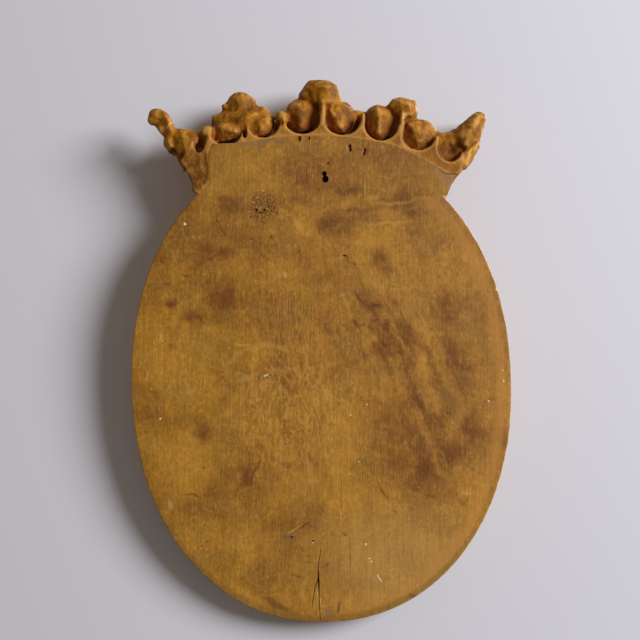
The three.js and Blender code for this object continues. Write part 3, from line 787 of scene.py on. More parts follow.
LEFT_HORN = (
    (((147, 119), (148.5, 113), (153, 108.5), (160, 108.5), (166, 111), (168, 118), (159, 124),
      (152, 126), (148, 124)), 13, ((156, 113), (161, 117)), 2, 28),
    (((158, 108.5), (165, 110.5), (170, 116), (173, 123), (177, 130), (172, 139), (163.5, 137),
      (158, 131), (154, 123.5)), 14, ((166, 115), (171, 129)), 2, 30),
    (((174, 131), (179, 128), (190, 130), (199, 131.5), (201, 136), (198, 143), (192, 148),
      (186, 154), (179, 155), (174, 148), (170, 139)), 13,
     ((184, 136), (188, 140), (186.5, 151)), 0.5, 44),
    (((188, 140), (206, 136), (212, 140), (210, 150), (200, 158), (189, 156)), 42,
     ((199, 147),), 34, 62),
    (((163, 142), (165, 137), (170, 134.5), (175, 138), (174, 149), (169, 151), (164.5, 147)), 14,
     ((169, 140), (171, 146)), 4, 40),
)  # fmt: skip
RIGHT_HORN = (
    (((450.5, 134), (456, 128.5), (462, 122.5), (470, 118), (475, 112.5), (482, 112),
      (486, 115.5), (485.5, 120), (481, 130), (478.5, 140), (478.5, 148), (470, 152),
      (461, 149), (453, 143)), 24, ((478, 116), (470, 128), (465, 146)), 4, 60),
    (((479, 141), (479, 147), (473.5, 154), (472, 161), (466, 169), (458, 172), (452, 168),
      (456, 160), (465, 150), (470, 142)), 14, ((470, 150), (465, 163)), 0.5, 44),
    (((433, 137), (441, 133), (452, 131), (466, 146), (466, 158), (452, 164), (440, 160),
      (433, 150)), 16, ((450, 148),), 10, 56),
)  # fmt: skip
SCALLOPS = (
    (334.5, 89.5, 26, 5), (337.5, 98, 26, 5.2), (338.5, 104, 26, 4.6), (346, 107, 28, 5),
    (350, 112.5, 28, 5), (357.5, 114.6, 30, 5.2), (362, 114.6, 30, 4.6), (305, 94.5, 24, 5.6),
    (291, 106.5, 30, 5), (389.5, 108, 26, 5), (393.5, 102.5, 26, 4.6), (372, 110.5, 28, 4.8),
    (413, 104, 26, 5.6), (414, 113, 26, 5.6), (424.5, 124, 28, 5.6), (431, 130, 28, 5.6),
    (225.5, 107.5, 28, 4.8), (215.5, 118.5, 26, 5.5), (252.5, 103.5, 28, 4.8),
    (263, 111.5, 28, 5.5), (269.5, 118, 24, 5.5), (481, 118, 24, 7), (445, 139.5, 30, 8),
    (478, 129, 24, 5), (475.5, 146, 20, 5.6), (469, 159, 16, 5.6), (151.5, 121, 14, 6),
    (281.5, 117.5, 14, 8.6), (207, 132.5, 10, 8.8), (401, 108, 20, 6), (303, 96, 28, 6),
)  # fmt: skip
PETALS = (*MIDDLE_LEAF, *RIGHT_LEAF, *LEFT_LEAF, *LEFT_HORN, *RIGHT_HORN)
print("outlined", len(PETALS), "petals and", len(SCALLOPS), "scallops")

# %% [markdown]
# All those lobes are one carved piece, so they are fused: a voxel remesh lays one even skin over
# everything. A few light smoothings take off its steps, as paint does.

# %% Make all the parts of the coronet
parts = [circlet(), back_wall()]
parts += full_leaf(98, SIDE_LEAF_SIZE)
parts += open_leaf(0, 1, 0, 0.02)
parts += open_leaf(-98, SIDE_LEAF_SIZE, -5, 0.08)
parts += pearl(145.5, 9, 23.5) + pearl(51, 10, 23.5) + pearl(-51, 36, 32) + pearl(-145.5, 34, 32)
parts += horn(CURLED_HORN, 1) + horn(POINTED_HORN, -1)
parts += [cabochon(x, 24 if i % 2 else 16) for i, x in enumerate(PLACES)]
parts += [petal(*shares) for shares in PETALS]
parts += [scallop(*spot) for spot in SCALLOPS]
print("the coronet is made of", len(parts), "parts")

# %% Put all the parts in one mesh
block = bmesh.new()
for part in parts:
    bmesh.ops.recalc_face_normals(part, faces=part.faces)
    for vert in part.verts:
        vert.co.y = min(vert.co.y, 0)
    scrap = bpy.data.meshes.new("part")
    part.to_mesh(scrap)
    part.free()
    block.from_mesh(scrap)
    bpy.data.meshes.remove(scrap)
coronet = body_from(block, "coronet_carved")
print("in one mesh they have", len(coronet.data.polygons), "faces")


# %% Fuse them into one skin
VOXEL = 1.6


def fuse_skin(body, voxel, passes):
    """Lays one even skin over everything, and takes off its steps."""
    fuse = body.modifiers.new("fuse", "REMESH")
    fuse.mode = "VOXEL"
    fuse.voxel_size = voxel
    ease = body.modifiers.new("ease", "SMOOTH")
    ease.factor = 0.5
    ease.iterations = passes
    bake_modifiers(body)
    print("the fused coronet has", len(body.data.polygons), "faces")


fuse_skin(coronet, VOXEL, passes=2)

# %% [markdown]
# Knocks and notches: the low end is scooped to a bowl, and the block's side is ragged where the
# saw tore it. Each is a ball sunk at the place that the photograph shows. A second skin then
# softens their rims.


# %% Cut the notches
def hollow(across, down, depth, size, reach):
    bm = bmesh.new()
    bmesh.ops.create_uvsphere(bm, u_segments=16, v_segments=12, radius=0.5)
    place = CORONET_FRAME.inverted() @ Matrix.Translation(in_view(across, down, depth))
    return body_from(placed(bm, place @ Matrix.Diagonal((size, reach, size, 1))), "hollow")


NOTCHES = (
    (415.5, 117, 8, 6, 26), (463.8, 149.6, 1, 5, 26), (441.8, 155.6, 0, 4, 26),
    (176, 162.5, 8, 13, 26), (180, 174.5, 8, 12, 26), (185, 186, 8, 11, 26),
    (191.5, 195, 8, 9, 26), (175, 164, 38, 17, 70), (178, 176, 38, 17, 70),
    (184, 188, 38, 16, 70), (169.5, 160.5, 8, 14, 40), (168.5, 161, 38, 18, 70),
    (177, 168.5, 14, 15, 44), (172, 159, 14, 14, 44),
)  # fmt: skip
BOWL = (449.8, 148.3, -1, 31, 30)
cut_all(coronet, [hollow(*notch) for notch in (*NOTCHES, BOWL)])
fuse_skin(coronet, VOXEL, passes=3)


# %% Gouge marks and unevenness
def gouge_marks(place, size):
    """Shallow scallops, highest where two cuts meet."""
    near = noise.voronoi(place / size)[0]
    return near[0]


FOREMOST = -71
normals = [vert.normal.copy() for vert in coronet.data.vertices]
for vert, normal in zip(coronet.data.vertices, normals):
    loose = min(-vert.co.y / 6, 1)
    drift = wander(vert.co, 1.0, 17) + wander(vert.co, 0.5, 6) + wander(vert.co, 0.3, 3)
    cut = 0.9 * (gouge_marks(vert.co, 8) - 0.5)
    vert.co += (drift + normal * cut) * loose
    vert.co.y = max(min(vert.co.y, 0), FOREMOST)
print("gouged, the coronet has", len(coronet.data.vertices), "points")

# %% [markdown]
# The coronet is hollowed to sit round the board. It is cut by the board's own outline, a little
# inside the worn edge, so that glue and paint fill the groove there as they do on the real one.

# %% Cut the seat for the board
WORN_EDGE = 1.2
envelope = [oval_point(WORN_EDGE, 2 * math.pi * i / OVAL_STEPS) for i in range(OVAL_STEPS)]
oval_cut = placed(slab(envelope, 2, THICKNESS + 2 + GLUE_GAP), BACK_UP)
tongue_cut = placed(slab(tongue_outline(GLUE_GAP, 8), 2, THICKNESS + 2 + GLUE_GAP), CORONET_FRAME)
coronet.data.transform(CORONET_FRAME)
combine(coronet, body_from(oval_cut, "oval_cut"), "DIFFERENCE")
combine(coronet, body_from(tongue_cut, "tongue_cut"), "DIFFERENCE")
print("seated, the coronet has", len(coronet.data.polygons), "faces")

# %% [markdown]
# ## Finish the meshes
# Faces shade smoothly except across edges that a tool left sharp. The coronet also gets an
# attribute that says how far each point stands out of its neighbourhood, and both pieces get one
# that says how sheltered each point is. The paints read these attributes: they darken hollows and
# creases as painted shade, and make ridges pale, as worn paint and painted highlight.


# %% Smooth shading and real size
def finished(piece, sharp_degrees):
    piece.data.transform(Matrix.Scale(MM, 4))
    piece.data.shade_smooth()
    piece.data.set_sharp_from_angle(angle=math.radians(sharp_degrees))
    piece.data.update()


# %% Measure ridges and hollows
def mark_relief(piece, passes, full):
    """Stores how far each point stands proud (1) of or sinks below (-1) its neighbourhood."""
    mesh = piece.data
    count = len(mesh.vertices)
    place = np.empty(count * 3)
    mesh.vertices.foreach_get("co", place)
    place = place.reshape(-1, 3)
    ends = np.empty(len(mesh.edges) * 2, int)
    mesh.edges.foreach_get("vertices", ends)
    a, b = ends.reshape(-1, 2).T
    degree = np.maximum(np.bincount(np.concatenate((a, b)), minlength=count), 1)
    soft = place.copy()
    for _ in range(passes):
        total = np.stack(
            [
                np.bincount(a, soft[b, k], count) + np.bincount(b, soft[a, k], count)
                for k in range(3)
            ],
            axis=1,
        )
        soft = 0.5 * soft + 0.5 * total / degree[:, None]
    normals = np.array([vert.normal for vert in mesh.vertices])
    proud = np.clip(((place - soft) * normals).sum(axis=1) / full, -1, 1)
    attribute = mesh.attributes.new("relief", "FLOAT", "POINT")
    attribute.data.foreach_set("value", proud.astype(np.float32))
    print(piece.name, "relief from", proud.min().round(2), "to", proud.max().round(2))


mark_relief(coronet, passes=40, full=2.0)


# %% Measure shelter
LOOKS = 28
LOOK_TURN = 2.4
LOOK_START = 1.2
GRAZING = 0.1


def mark_shelter(piece, others, reach):
    """Stores how much of the room round each point is blocked within reach, from 0 to 1."""
    trees = []
    for other in others:
        spots = [vert.co for vert in other.data.vertices]
        faces = [face.vertices[:] for face in other.data.polygons]
        trees.append(bvhtree.BVHTree.FromPolygons(spots, faces))
    looks = []
    for i in range(LOOKS):
        height = 1 - (2 * i + 1) / LOOKS
        around = math.sqrt(1 - height**2)
        turn = LOOK_TURN * i
        looks.append(Vector((around * math.cos(turn), around * math.sin(turn), height)))
    blocked = []
    for vert in piece.data.vertices:
        normal = vert.normal
        start = vert.co + normal * LOOK_START
        open_share, hit_share = 0.0, 0.0
        for look in looks:
            lean = look.dot(normal)
            if lean > GRAZING:
                open_share += lean
                if any(tree.ray_cast(start, look, reach)[0] for tree in trees):
                    hit_share += lean
        blocked.append(hit_share / max(open_share, GRAZING))
    piece.data.attributes.new("shelter", "FLOAT", "POINT").data.foreach_set("value", blocked)
    print(piece.name, "is sheltered by", round(sum(blocked) / len(blocked), 2), "on average")


mark_shelter(coronet, (coronet, board), reach=34)
mark_shelter(board, (board,), reach=14)
finished(board, sharp_degrees=32)
finished(coronet, sharp_degrees=48)

# %% [markdown]
# ## Paint helpers
# Node trees are easier to read when one short line adds a node and names what feeds it.


# %% One line for each node
def node(tree, kind, feeds=None, **settings):
    """Adds a shader node. Each feed is a plain value or another node's output."""
    made = tree.nodes.new("ShaderNode" + kind)
    for name, value in settings.items():
        setattr(made, name, value)
    for key, value in (feeds or {}).items():
        if isinstance(value, bpy.types.NodeSocket):
            tree.links.new(value, made.inputs[key])
        else:
            made.inputs[key].default_value = value
    return made


def maths(tree, operation, *values):
    return node(tree, "Math", dict(enumerate(values)), operation=operation).outputs[0]


def vectors(tree, operation, first, second):
    return node(tree, "VectorMath", {0: first, 1: second}, operation=operation).outputs[0]


def turned(tree, place, turn):
    """A place turned about the origin by three angles."""
    feeds = {"Vector": place, "Rotation": turn}
    return node(tree, "VectorRotate", feeds, rotation_type="EULER_XYZ").outputs[0]


def ramp(tree, value, low, high):
    """0 below low, 1 above high, and eased between."""
    feeds = {"Value": value, "From Min": low, "From Max": high}
    return node(tree, "MapRange", feeds, interpolation_type="SMOOTHSTEP").outputs["Result"]


def rising(tree, place, axis, low, high):
    """A mask that rises along one axis, from 0 at low to 1 at high."""
    return ramp(tree, node(tree, "SeparateXYZ", {0: place}).outputs[axis], low, high)


def times(tree, *masks):
    """The product of masks, which is 1 only where all of them are."""
    total = masks[0]
    for mask in masks[1:]:
        total = maths(tree, "MULTIPLY", total, mask)
    return total


def without(tree, mask):
    return maths(tree, "SUBTRACT", 1.0, mask)


def heaped(tree, *shares):
    """The sum of values, each times its share."""
    total = times(tree, *shares[0])
    for value, share in shares[1:]:
        total = maths(tree, "MULTIPLY_ADD", value, share, total)
    return total


def stored(tree, name):
    """What the mesh keeps under a name at each of its points or faces."""
    return node(tree, "Attribute", attribute_name=name).outputs["Fac"]


# %% [markdown]
# ## Noise, paint and groups
# Almost all of the finish is soft noise, stretched or pushed about, that says where one thin
# coat lies over another. Paints are named as a paint maker would, from 0 to 255.


# %% Clouds of noise
def clouds(tree, place, scale, detail=4.0, roughness=0.55, distortion=0.0):
    """Soft noise, with scale as the number of clouds in a metre."""
    feeds = {
        "Vector": place,
        "Scale": scale,
        "Detail": detail,
        "Roughness": roughness,
        "Distortion": distortion,
    }
    return node(tree, "TexNoise", feeds).outputs["Fac"]


def stretched(tree, place, across, along, deep=1.0, turn=0.0):
    """Scales a place so that a pattern is drawn out, upright or leaning over by turn."""
    feeds = {"Vector": place, "Scale": (1 / across, 1 / deep, 1 / along), "Rotation": (0, turn, 0)}
    return node(tree, "Mapping", feeds, vector_type="TEXTURE").outputs["Vector"]


def pushed(tree, place, reach, scale):
    """A place moved about by noise, at most about reach metres."""
    wobble = node(tree, "TexNoise", {"Vector": place, "Scale": scale, "Detail": 4.0})
    centred = vectors(tree, "SUBTRACT", wobble.outputs["Color"], (0.5,) * 3)
    scaled = node(tree, "VectorMath", {0: centred, "Scale": 3 * reach}, operation="SCALE")
    return vectors(tree, "ADD", place, scaled.outputs[0])


# %% Coats of paint
def paint(red, green, blue):
    """A colour as a paint maker would name it, from 0 to 255, made linear for the shader."""
    parts = [c / 255 for c in (red, green, blue)]
    return (*[c / 12.92 if c <= 0.04 else ((c + 0.055) / 1.055) ** 2.4 for c in parts], 1)


def mix(tree, share, first, second):
    return node(tree, "Mix", {0: share, 6: first, 7: second}, data_type="RGBA").outputs[2]


def coats(tree, colour, *layers):
    """Lays coats on a colour. Each is a mask, its greatest share, and red, green and blue."""
    for mask, share, *tone in layers:
        colour = mix(tree, times(tree, mask, share), colour, paint(*tone))
    return colour


# %% Materials and groups
def new_paint(name):
    """An empty paint: its material, its node tree, and the place of each point."""
    material = bpy.data.materials.new(name)
    material.use_nodes = True
    tree = material.node_tree
    return material, tree, node(tree, "TexCoord").outputs["Object"]


def put_on(piece, material, colour, roughness, height, gloss, strength, distance):
    """Feeds the paint's shader, and paints the piece with it."""
    tree = material.node_tree
    shader = tree.nodes["Principled BSDF"]
    bump = node(tree, "Bump", {"Height": height, "Strength": strength, "Distance": distance})
    tree.links.new(colour, shader.inputs["Base Color"])
    tree.links.new(roughness, shader.inputs["Roughness"])
    tree.links.new(bump.outputs["Normal"], shader.inputs["Normal"])
    shader.inputs["Specular IOR Level"].default_value = gloss
    piece.data.materials.clear()
    piece.data.materials.append(material)
    print(material.name, "has", len(tree.nodes), "nodes")


def new_group(name, inputs, outputs):
    """An empty node group: names and kinds of sockets, with a starting value for inputs."""
    tree = bpy.data.node_groups.new(name, "ShaderNodeTree")
    for called, kind, value in inputs:
        kind = "NodeSocket" + kind
        socket = tree.interface.new_socket(called, in_out="INPUT", socket_type=kind)
        if value is not None:
            socket.default_value = value
    for called in outputs:
        tree.interface.new_socket(called, in_out="OUTPUT", socket_type="NodeSocketFloat")
    return tree, tree.nodes.new("NodeGroupInput").outputs, tree.nodes.new("NodeGroupOutput").inputs


def put_group(tree, group_tree, place):
    group = tree.nodes.new("ShaderNodeGroup")
    group.node_tree = group_tree
    tree.links.new(place, group.inputs["Place"])
    return group


# %% [markdown]
# ## Blot: one soft spot on the back
# Stains, knots and bruises are all spots with a ragged edge. One group makes such a spot from
# its place, its two radii and its turn, and each paint uses it as often as it needs. The
# raggedness comes from the place itself, which is pushed about by noise once for all spots.

# %% Build the blot group
blot_tree, given, result = new_group(
    "Blot",
    [
        ("Place", "Vector", None),
        ("Centre", "Vector", (0, 0, 0)),
        ("Size", "Vector", (100, 1, 100)),
        ("Turn", "Vector", (0, 0, 0)),
        ("Core", "Float", 0.4),
    ],
    ["Mask"],
)
away = vectors(blot_tree, "SUBTRACT", given["Place"], given["Centre"])
scaled = vectors(blot_tree, "MULTIPLY", turned(blot_tree, away, given["Turn"]), given["Size"])
length = node(blot_tree, "VectorMath", {0: scaled}, operation="LENGTH").outputs["Value"]
blot_tree.links.new(ramp(blot_tree, length, 1.0, given["Core"]), result["Mask"])
print("Blot has", len(blot_tree.nodes), "nodes")


# %% Spots and strokes at pixels of the photograph
def blot(tree, place, across, down, width, height, turn=0, core=0.2):
    """A spot at a pixel of the photograph, width and height in its pixels."""
    group = put_group(tree, blot_tree, place)
    group.inputs["Centre"].default_value = in_view(across, down) * MM
    group.inputs["Size"].default_value = (2 / (width * PIXEL * MM), 60, 2 / (height * PIXEL * MM))
    group.inputs["Turn"].default_value = (0, math.radians(turn), 0)
    group.inputs["Core"].default_value = core
    return group.outputs["Mask"]


def streak(tree, place, across, down, to_across, to_down, width, core=0.3):
    """A stroke between two pixels of the photograph."""
    run = in_view(to_across, to_down) - in_view(across, down)
    middle = ((across + to_across) / 2, (down + to_down) / 2)
    turn = math.degrees(math.atan2(-run.x, run.z))
    return blot(tree, place, *middle, width, run.length / PIXEL + width, turn, core)


def strongest(tree, masks):
    total = masks[0]
    for mask in masks[1:]:
        total = maths(tree, "MAXIMUM", total, mask)
    return total


def blots(tree, place, spots, core=0.2):
    return strongest(tree, [blot(tree, place, *spot, core=core) for spot in spots])


def streaks(tree, place, strokes, core=0.3):
    return strongest(tree, [streak(tree, place, *stroke, core=core) for stroke in strokes])


def marks(tree, place, strokes, spots):
    """Strokes and spots of one kind, as one mask."""
    return strongest(tree, [streaks(tree, place, strokes), blots(tree, place, spots)])


# %% [markdown]
# ## Grain: fine upright lines
# The wash was brushed along the grain, and the grain shows through it. Noise drawn out along Z
# gives both, once broad and once as fine as single fibres. Both paints use this group.

# %% Build the grain group
grain_tree, given, result = new_group("Grain", [("Place", "Vector", None)], ["Lines", "Fibres"])
slow = clouds(grain_tree, stretched(grain_tree, given["Place"], 1, 0.035), 240, 3, 0.6, 0.1)
fast = clouds(grain_tree, stretched(grain_tree, given["Place"], 1, 0.07), 700, 4, 0.7)
grain_tree.links.new(slow, result["Lines"])
grain_tree.links.new(fast, result["Fibres"])
print("Grain has", len(grain_tree.nodes), "nodes")

# %% [markdown]
# ## Mottle: uneven old paint
# Ochre wash dries in clouds, and a brush leaves swirls in it. Both paints use this group too:
# broad clouds, small clouds, and the thin curved lines of the brush. A line appears wherever
# bent noise crosses its middle value.


# %% Build the mottle group
def fold_lines(tree, bent):
    """How far noise is from its middle value, which is near 0 along thin curved lines."""
    return maths(tree, "ABSOLUTE", maths(tree, "SUBTRACT", bent, 0.5))


mottle_tree, given, result = new_group(
    "Mottle", [("Place", "Vector", None)], ["Broad", "Small", "Swirl"]
)
broad = clouds(mottle_tree, given["Place"], 19, 5, 0.62, 0.8)
small = clouds(mottle_tree, stretched(mottle_tree, given["Place"], 1.3, 0.8), 75, 5, 0.68, 0.5)
bent = clouds(mottle_tree, stretched(mottle_tree, given["Place"], 1.5, 0.7), 30, 3, 0.5, 2.4)
swirl = ramp(mottle_tree, fold_lines(mottle_tree, bent), 0.07, 0.0)
mottle_tree.links.new(broad, result["Broad"])
mottle_tree.links.new(small, result["Small"])
mottle_tree.links.new(swirl, result["Swirl"])
print("Mottle has", len(mottle_tree.nodes), "nodes")

# %% [markdown]
# ## Rim: how far in from the oval's edge
# Hands and dust meet the board at its edge first. This group turns a place into its share of
# the way from the middle to the sawn edge, so that bands can follow the outline. Above the oval
# it says that the edge is far away.

# %% Build the rim group
MEAN_RADIUS = 0.26
rim_tree, given, result = new_group("Rim", [("Place", "Vector", None)], ["Inset"])
straight = turned(rim_tree, given["Place"], (0, -OVAL_LEAN, 0))
parts = node(rim_tree, "SeparateXYZ", {0: straight}).outputs
powers = []
for axis, half in (("X", OVAL_WIDTH / 2), ("Z", OVAL_HEIGHT / 2)):
    share = maths(rim_tree, "ABSOLUTE", times(rim_tree, parts[axis], 1 / (half * MM)))
    powers.append(maths(rim_tree, "POWER", share, OVAL_FULLNESS))
reach = maths(rim_tree, "POWER", maths(rim_tree, "ADD", *powers), 1 / OVAL_FULLNESS)
inset = times(rim_tree, without(rim_tree, reach), MEAN_RADIUS)
above = ramp(rim_tree, parts["Z"], 0.232, 0.238)
rim_tree.links.new(maths(rim_tree, "ADD", inset, above), result["Inset"])
print("Rim has", len(rim_tree.nodes), "nodes")

# %% [markdown]
# ## Ochre wash for the board's back
# The wash is thin: yellow-olive on one side, warmer on the other. It is laid here in the order
# of the real one: wood, wash, grain, and then the marks of use, each where the photograph shows
# it. First come the places and the noises that its coats share.

# %% Places and noises for the wash
wash, tree, place = new_paint("ochre_wash_on_board")
ragged = pushed(tree, place, 0.006, 45)
crisp = pushed(tree, place, 0.0012, 260)
grain = put_group(tree, grain_tree, place).outputs
mottle = put_group(tree, mottle_tree, place).outputs
inset = put_group(tree, rim_tree, place).outputs["Inset"]
on_the_back = rising(tree, place, "Y", -0.012, -0.004)
to_left = rising(tree, ragged, "X", -0.05, 0.2)
to_right = rising(tree, ragged, "X", 0.02, -0.22)
to_foot = rising(tree, ragged, "Z", -0.05, -0.25)
to_head = rising(tree, ragged, "Z", 0.06, 0.26)
olive = clouds(tree, place, 30, 3, 0.5, 0.7)
medium = clouds(tree, ragged, 58, 4, 0.55, 0.7)
veil = clouds(tree, place, 10, 3, 0.5, 0.6)
flecks = clouds(tree, stretched(tree, place, 1.2, 0.7), 260, 4, 0.65)
print("the wash starts with", len(tree.nodes), "nodes")

# %% Lay the wash
colour = mix(tree, to_left, paint(154, 104, 36), paint(150, 102, 22))
colour = mix(tree, to_right, colour, paint(158, 110, 46))
colour = coats(
    tree,
    colour,
    (to_foot, 0.6, 162, 116, 38),
    (to_head, 0.4, 122, 84, 36),
    (ramp(tree, mottle["Broad"], 0.5, 0.62), 0.4, 172, 122, 38),
    (ramp(tree, olive, 0.5, 0.6), 0.42, 128, 98, 42),
    (ramp(tree, mottle["Broad"], 0.48, 0.36), 0.34, 108, 66, 22),
    (ramp(tree, medium, 0.48, 0.34), 0.3, 104, 64, 24),
    (ramp(tree, medium, 0.54, 0.68), 0.3, 184, 132, 48),
    (ramp(tree, veil, 0.5, 0.36), 0.4, 114, 68, 24),
    (ramp(tree, veil, 0.5, 0.64), 0.4, 178, 130, 44),
    (ramp(tree, mottle["Small"], 0.48, 0.38), 0.2, 98, 60, 24),
    (ramp(tree, mottle["Small"], 0.54, 0.64), 0.2, 190, 142, 62),
    (ramp(tree, flecks, 0.48, 0.36), 0.3, 92, 56, 22),
    (ramp(tree, flecks, 0.54, 0.66), 0.3, 202, 154, 78),
)
print("laid the wash, with", len(tree.nodes), "nodes")

# %% [markdown]
# Handling has rubbed the wash through to brown wood in patches, most of them low on one side,
# where they lean with the wiping hand. Slanting noise breaks them up.

# %% Rub it through to brown wood
BROWN_PATCHES = (
    (388, 335, 46, 150, -27), (414, 394, 46, 84, -27), (457, 365, 52, 100, -10),
    (448, 308, 34, 64, -10), (470, 430, 34, 60, 20), (433, 382, 28, 24), (445, 415, 24, 24),
    (450, 455, 40, 30), (425, 470, 56, 60), (396, 204, 76, 24), (404, 196, 34, 38),
    (414, 213, 40, 14), (218, 254, 52, 34), (222, 300, 42, 50), (172, 304, 22, 14),
    (196, 318, 30, 36), (231, 206, 44, 34), (173, 346, 14, 12), (202, 430, 26, 40),
    (248, 475, 40, 50), (345, 190, 60, 22), (380, 262, 30, 50, -27), (330, 225, 60, 40),
)  # fmt: skip
brown = blots(tree, ragged, BROWN_PATCHES, core=0.15)
brown_side = blot(tree, ragged, 398, 424, 96, 180, -24)
broken = maths(tree, "MULTIPLY_ADD", ramp(tree, medium, 0.6, 0.42), 0.5, 0.5)
slanting = clouds(tree, stretched(tree, ragged, 1, 0.2, 1, 0.46), 64, 4, 0.55, 0.3)
wiped = blots(tree, ragged, ((400, 340, 130, 240, -20), (430, 430, 110, 140)))
level = clouds(tree, stretched(tree, ragged, 0.25, 1.6), 60, 4, 0.6, 0.4)
across_top = blot(tree, ragged, 370, 205, 160, 60)
colour = coats(
    tree,
    colour,
    (times(tree, brown, broken), 0.85, 98, 56, 20),
    (times(tree, brown_side, broken), 0.5, 112, 64, 24),
    (times(tree, ramp(tree, slanting, 0.5, 0.4), wiped), 0.6, 92, 52, 20),
    (times(tree, ramp(tree, slanting, 0.52, 0.62), wiped), 0.45, 182, 130, 54),
    (times(tree, ramp(tree, level, 0.5, 0.42), across_top), 0.5, 100, 60, 24),
)
print("rubbed it through in", len(BROWN_PATCHES), "patches")

# %% [markdown]
# In other places the wash lies thicker and yellower, or has dulled towards the head. The brush
# has left swirls in it, and a web of fine lines, each with a darker line beside it.

# %% Thicker patches and the brush's lines
GOLD_PATCHES = (
    (190, 470, 50, 90), (240, 168, 46, 34), (428, 190, 30, 36), (472, 262, 34, 80, -14),
    (210, 328, 18, 16), (175, 321, 12, 12), (330, 260, 50, 60), (170, 400, 26, 60),
    (340, 500, 80, 40), (300, 230, 50, 30), (425, 545, 60, 40, 30), (370, 240, 30, 40),
    (350, 450, 40, 60), (320, 486, 150, 70), (160, 350, 20, 120), (320, 600, 170, 60),
    (250, 540, 90, 70),
)  # fmt: skip
DUSKY_PATCHES = ((450, 205, 170, 90), (482, 330, 80, 250), (215, 170, 120, 60))
gold = blots(tree, ragged, GOLD_PATCHES, core=0.0)
thick = maths(tree, "MULTIPLY_ADD", ramp(tree, mottle["Small"], 0.4, 0.6), 0.6, 0.4)
pale_foot = blot(tree, ragged, 400, 560, 240, 150)
dusk = blots(tree, ragged, DUSKY_PATCHES, core=0.0)
swirls = times(tree, mottle["Swirl"], blot(tree, ragged, 292, 405, 200, 230))
web = fold_lines(tree, clouds(tree, place, 52, 3, 0.5, 1.8))
light_web = times(tree, ramp(tree, web, 0.035, 0.0), ramp(tree, mottle["Broad"], 0.42, 0.56))
dark_web = times(tree, ramp(tree, web, 0.05, 0.085), ramp(tree, mottle["Small"], 0.44, 0.56))
colour = coats(
    tree,
    colour,
    (times(tree, gold, thick), 0.5, 188, 136, 48),
    (pale_foot, 0.5, 186, 144, 78),
    (dusk, 0.3, 112, 76, 34),
    (swirls, 0.55, 192, 142, 62),
    (light_web, 0.16, 200, 150, 66),
    (dark_web, 0.16, 96, 58, 22),
)
print("left it thicker in", len(GOLD_PATCHES), "patches")

# %% [markdown]
# The grain shows through all of it, as dark lines and light fibres. In three places the wash was
# dragged over it with a nearly dry brush, which left it combed.

# %% Bring out the grain
COMBED_PATCHES = ((290, 322, 110, 100), (372, 470, 40, 60), (300, 175, 50, 50))
comb = ramp(tree, clouds(tree, stretched(tree, place, 1, 0.14), 420, 2, 0.5), 0.54, 0.66)
combed = times(tree, comb, blots(tree, ragged, COMBED_PATCHES, core=0.3))
colour = coats(
    tree,
    colour,
    (ramp(tree, grain["Lines"], 0.48, 0.6), 0.12, 92, 56, 20),
    (ramp(tree, grain["Fibres"], 0.52, 0.64), 0.16, 196, 148, 72),
    (ramp(tree, grain["Fibres"], 0.48, 0.38), 0.16, 84, 50, 20),
    (combed, 0.42, 92, 58, 26),
)
print("brought out the grain, with", len(tree.nodes), "nodes")

# %% [markdown]
# ## The marks of use
# Stains, bruises, the knot and the splashes of white. The same two brushes lay them all, a
# stroke from pixel to pixel and a spot at a pixel, with the names telling which mark each is.

# %% Reddish bruises, and worm-eaten grain by the nail holes
RED_STROKES = (
    (232, 281, 223, 308, 19), (207, 150, 207, 184, 3.5), (378, 484, 391, 503, 4),
    (411, 490, 424, 493, 3), (424, 493, 438, 498, 5),
)  # fmt: skip
RED_SPOTS = (
    (212, 147, 8, 7), (391, 452, 16, 14), (226, 201, 6, 5), (202, 547, 6, 5), (339, 404, 8, 8),
    (330, 161, 5, 9), (309, 139, 5, 8), (186, 207, 30, 14, 30), (171.7, 238.7, 11, 7),
    (162, 259.4, 10, 9), (167, 286, 14, 8), (189, 315, 30, 15), (169, 303, 14, 9),
    (206, 247, 26, 12), (301, 181, 22, 14), (225, 200, 20, 9), (398, 462, 30, 34, -30),
    (352, 320, 14, 10),
)  # fmt: skip
red = marks(tree, ragged, RED_STROKES, RED_SPOTS)
worm = times(tree, ramp(tree, grain["Lines"], 0.5, 0.58), blot(tree, ragged, 308, 172, 34, 44))
colour = coats(tree, colour, (red, 0.5, 106, 52, 18), (worm, 0.75, 122, 52, 24))
print("laid", len(RED_STROKES) + len(RED_SPOTS), "reddish bruises")

# %% Dark stains, and painted shadow beside the joint
STAIN_AND_SHADOW_STROKES = (
    (352, 291, 368, 305, 6), (368, 305, 384, 308, 5), (353, 318, 360, 327, 6),
    (372, 322, 381, 321, 5), (379, 339, 389, 347, 7), (262, 599, 290, 610, 9),
    (342, 600, 336, 613, 4), (260, 455, 250, 490, 5), (181, 494, 207, 498, 2.5),
    # The last stroke, along the joint by the coronet's side, is a dark joint line widened by painted
    # shadow.
    (392, 511, 397, 518, 3), (208.6, 150, 208.9, 184, 6),
)  # fmt: skip
STAIN_SPOTS = (
    (344.9, 256, 10, 6), (354, 262, 5, 4), (350, 210, 4, 4), (186, 275, 10, 7), (300, 139, 5, 9),
    (350, 148, 6, 11), (364.4, 151.6, 5, 9), (277, 214, 5, 11), (289, 537, 16, 11, 20),
    (270.3, 237.4, 4, 5), (250.8, 238.7, 6, 4), (299.5, 251.5, 3, 4), (272, 253, 3, 4),
    (162, 262, 5, 4), (345.6, 534.5, 6, 5), (218, 221, 5, 6), (203, 465, 5, 5), (207, 542, 6, 3),
    (302, 548, 4, 4), (413, 597, 14, 7),
)  # fmt: skip
stains_and_joint_shadow = marks(tree, ragged, STAIN_AND_SHADOW_STROKES, STAIN_SPOTS)
colour = coats(tree, colour, (stains_and_joint_shadow, 0.6, 78, 46, 20))
print("laid", len(STAIN_AND_SHADOW_STROKES) + len(STAIN_SPOTS), "dark stains")

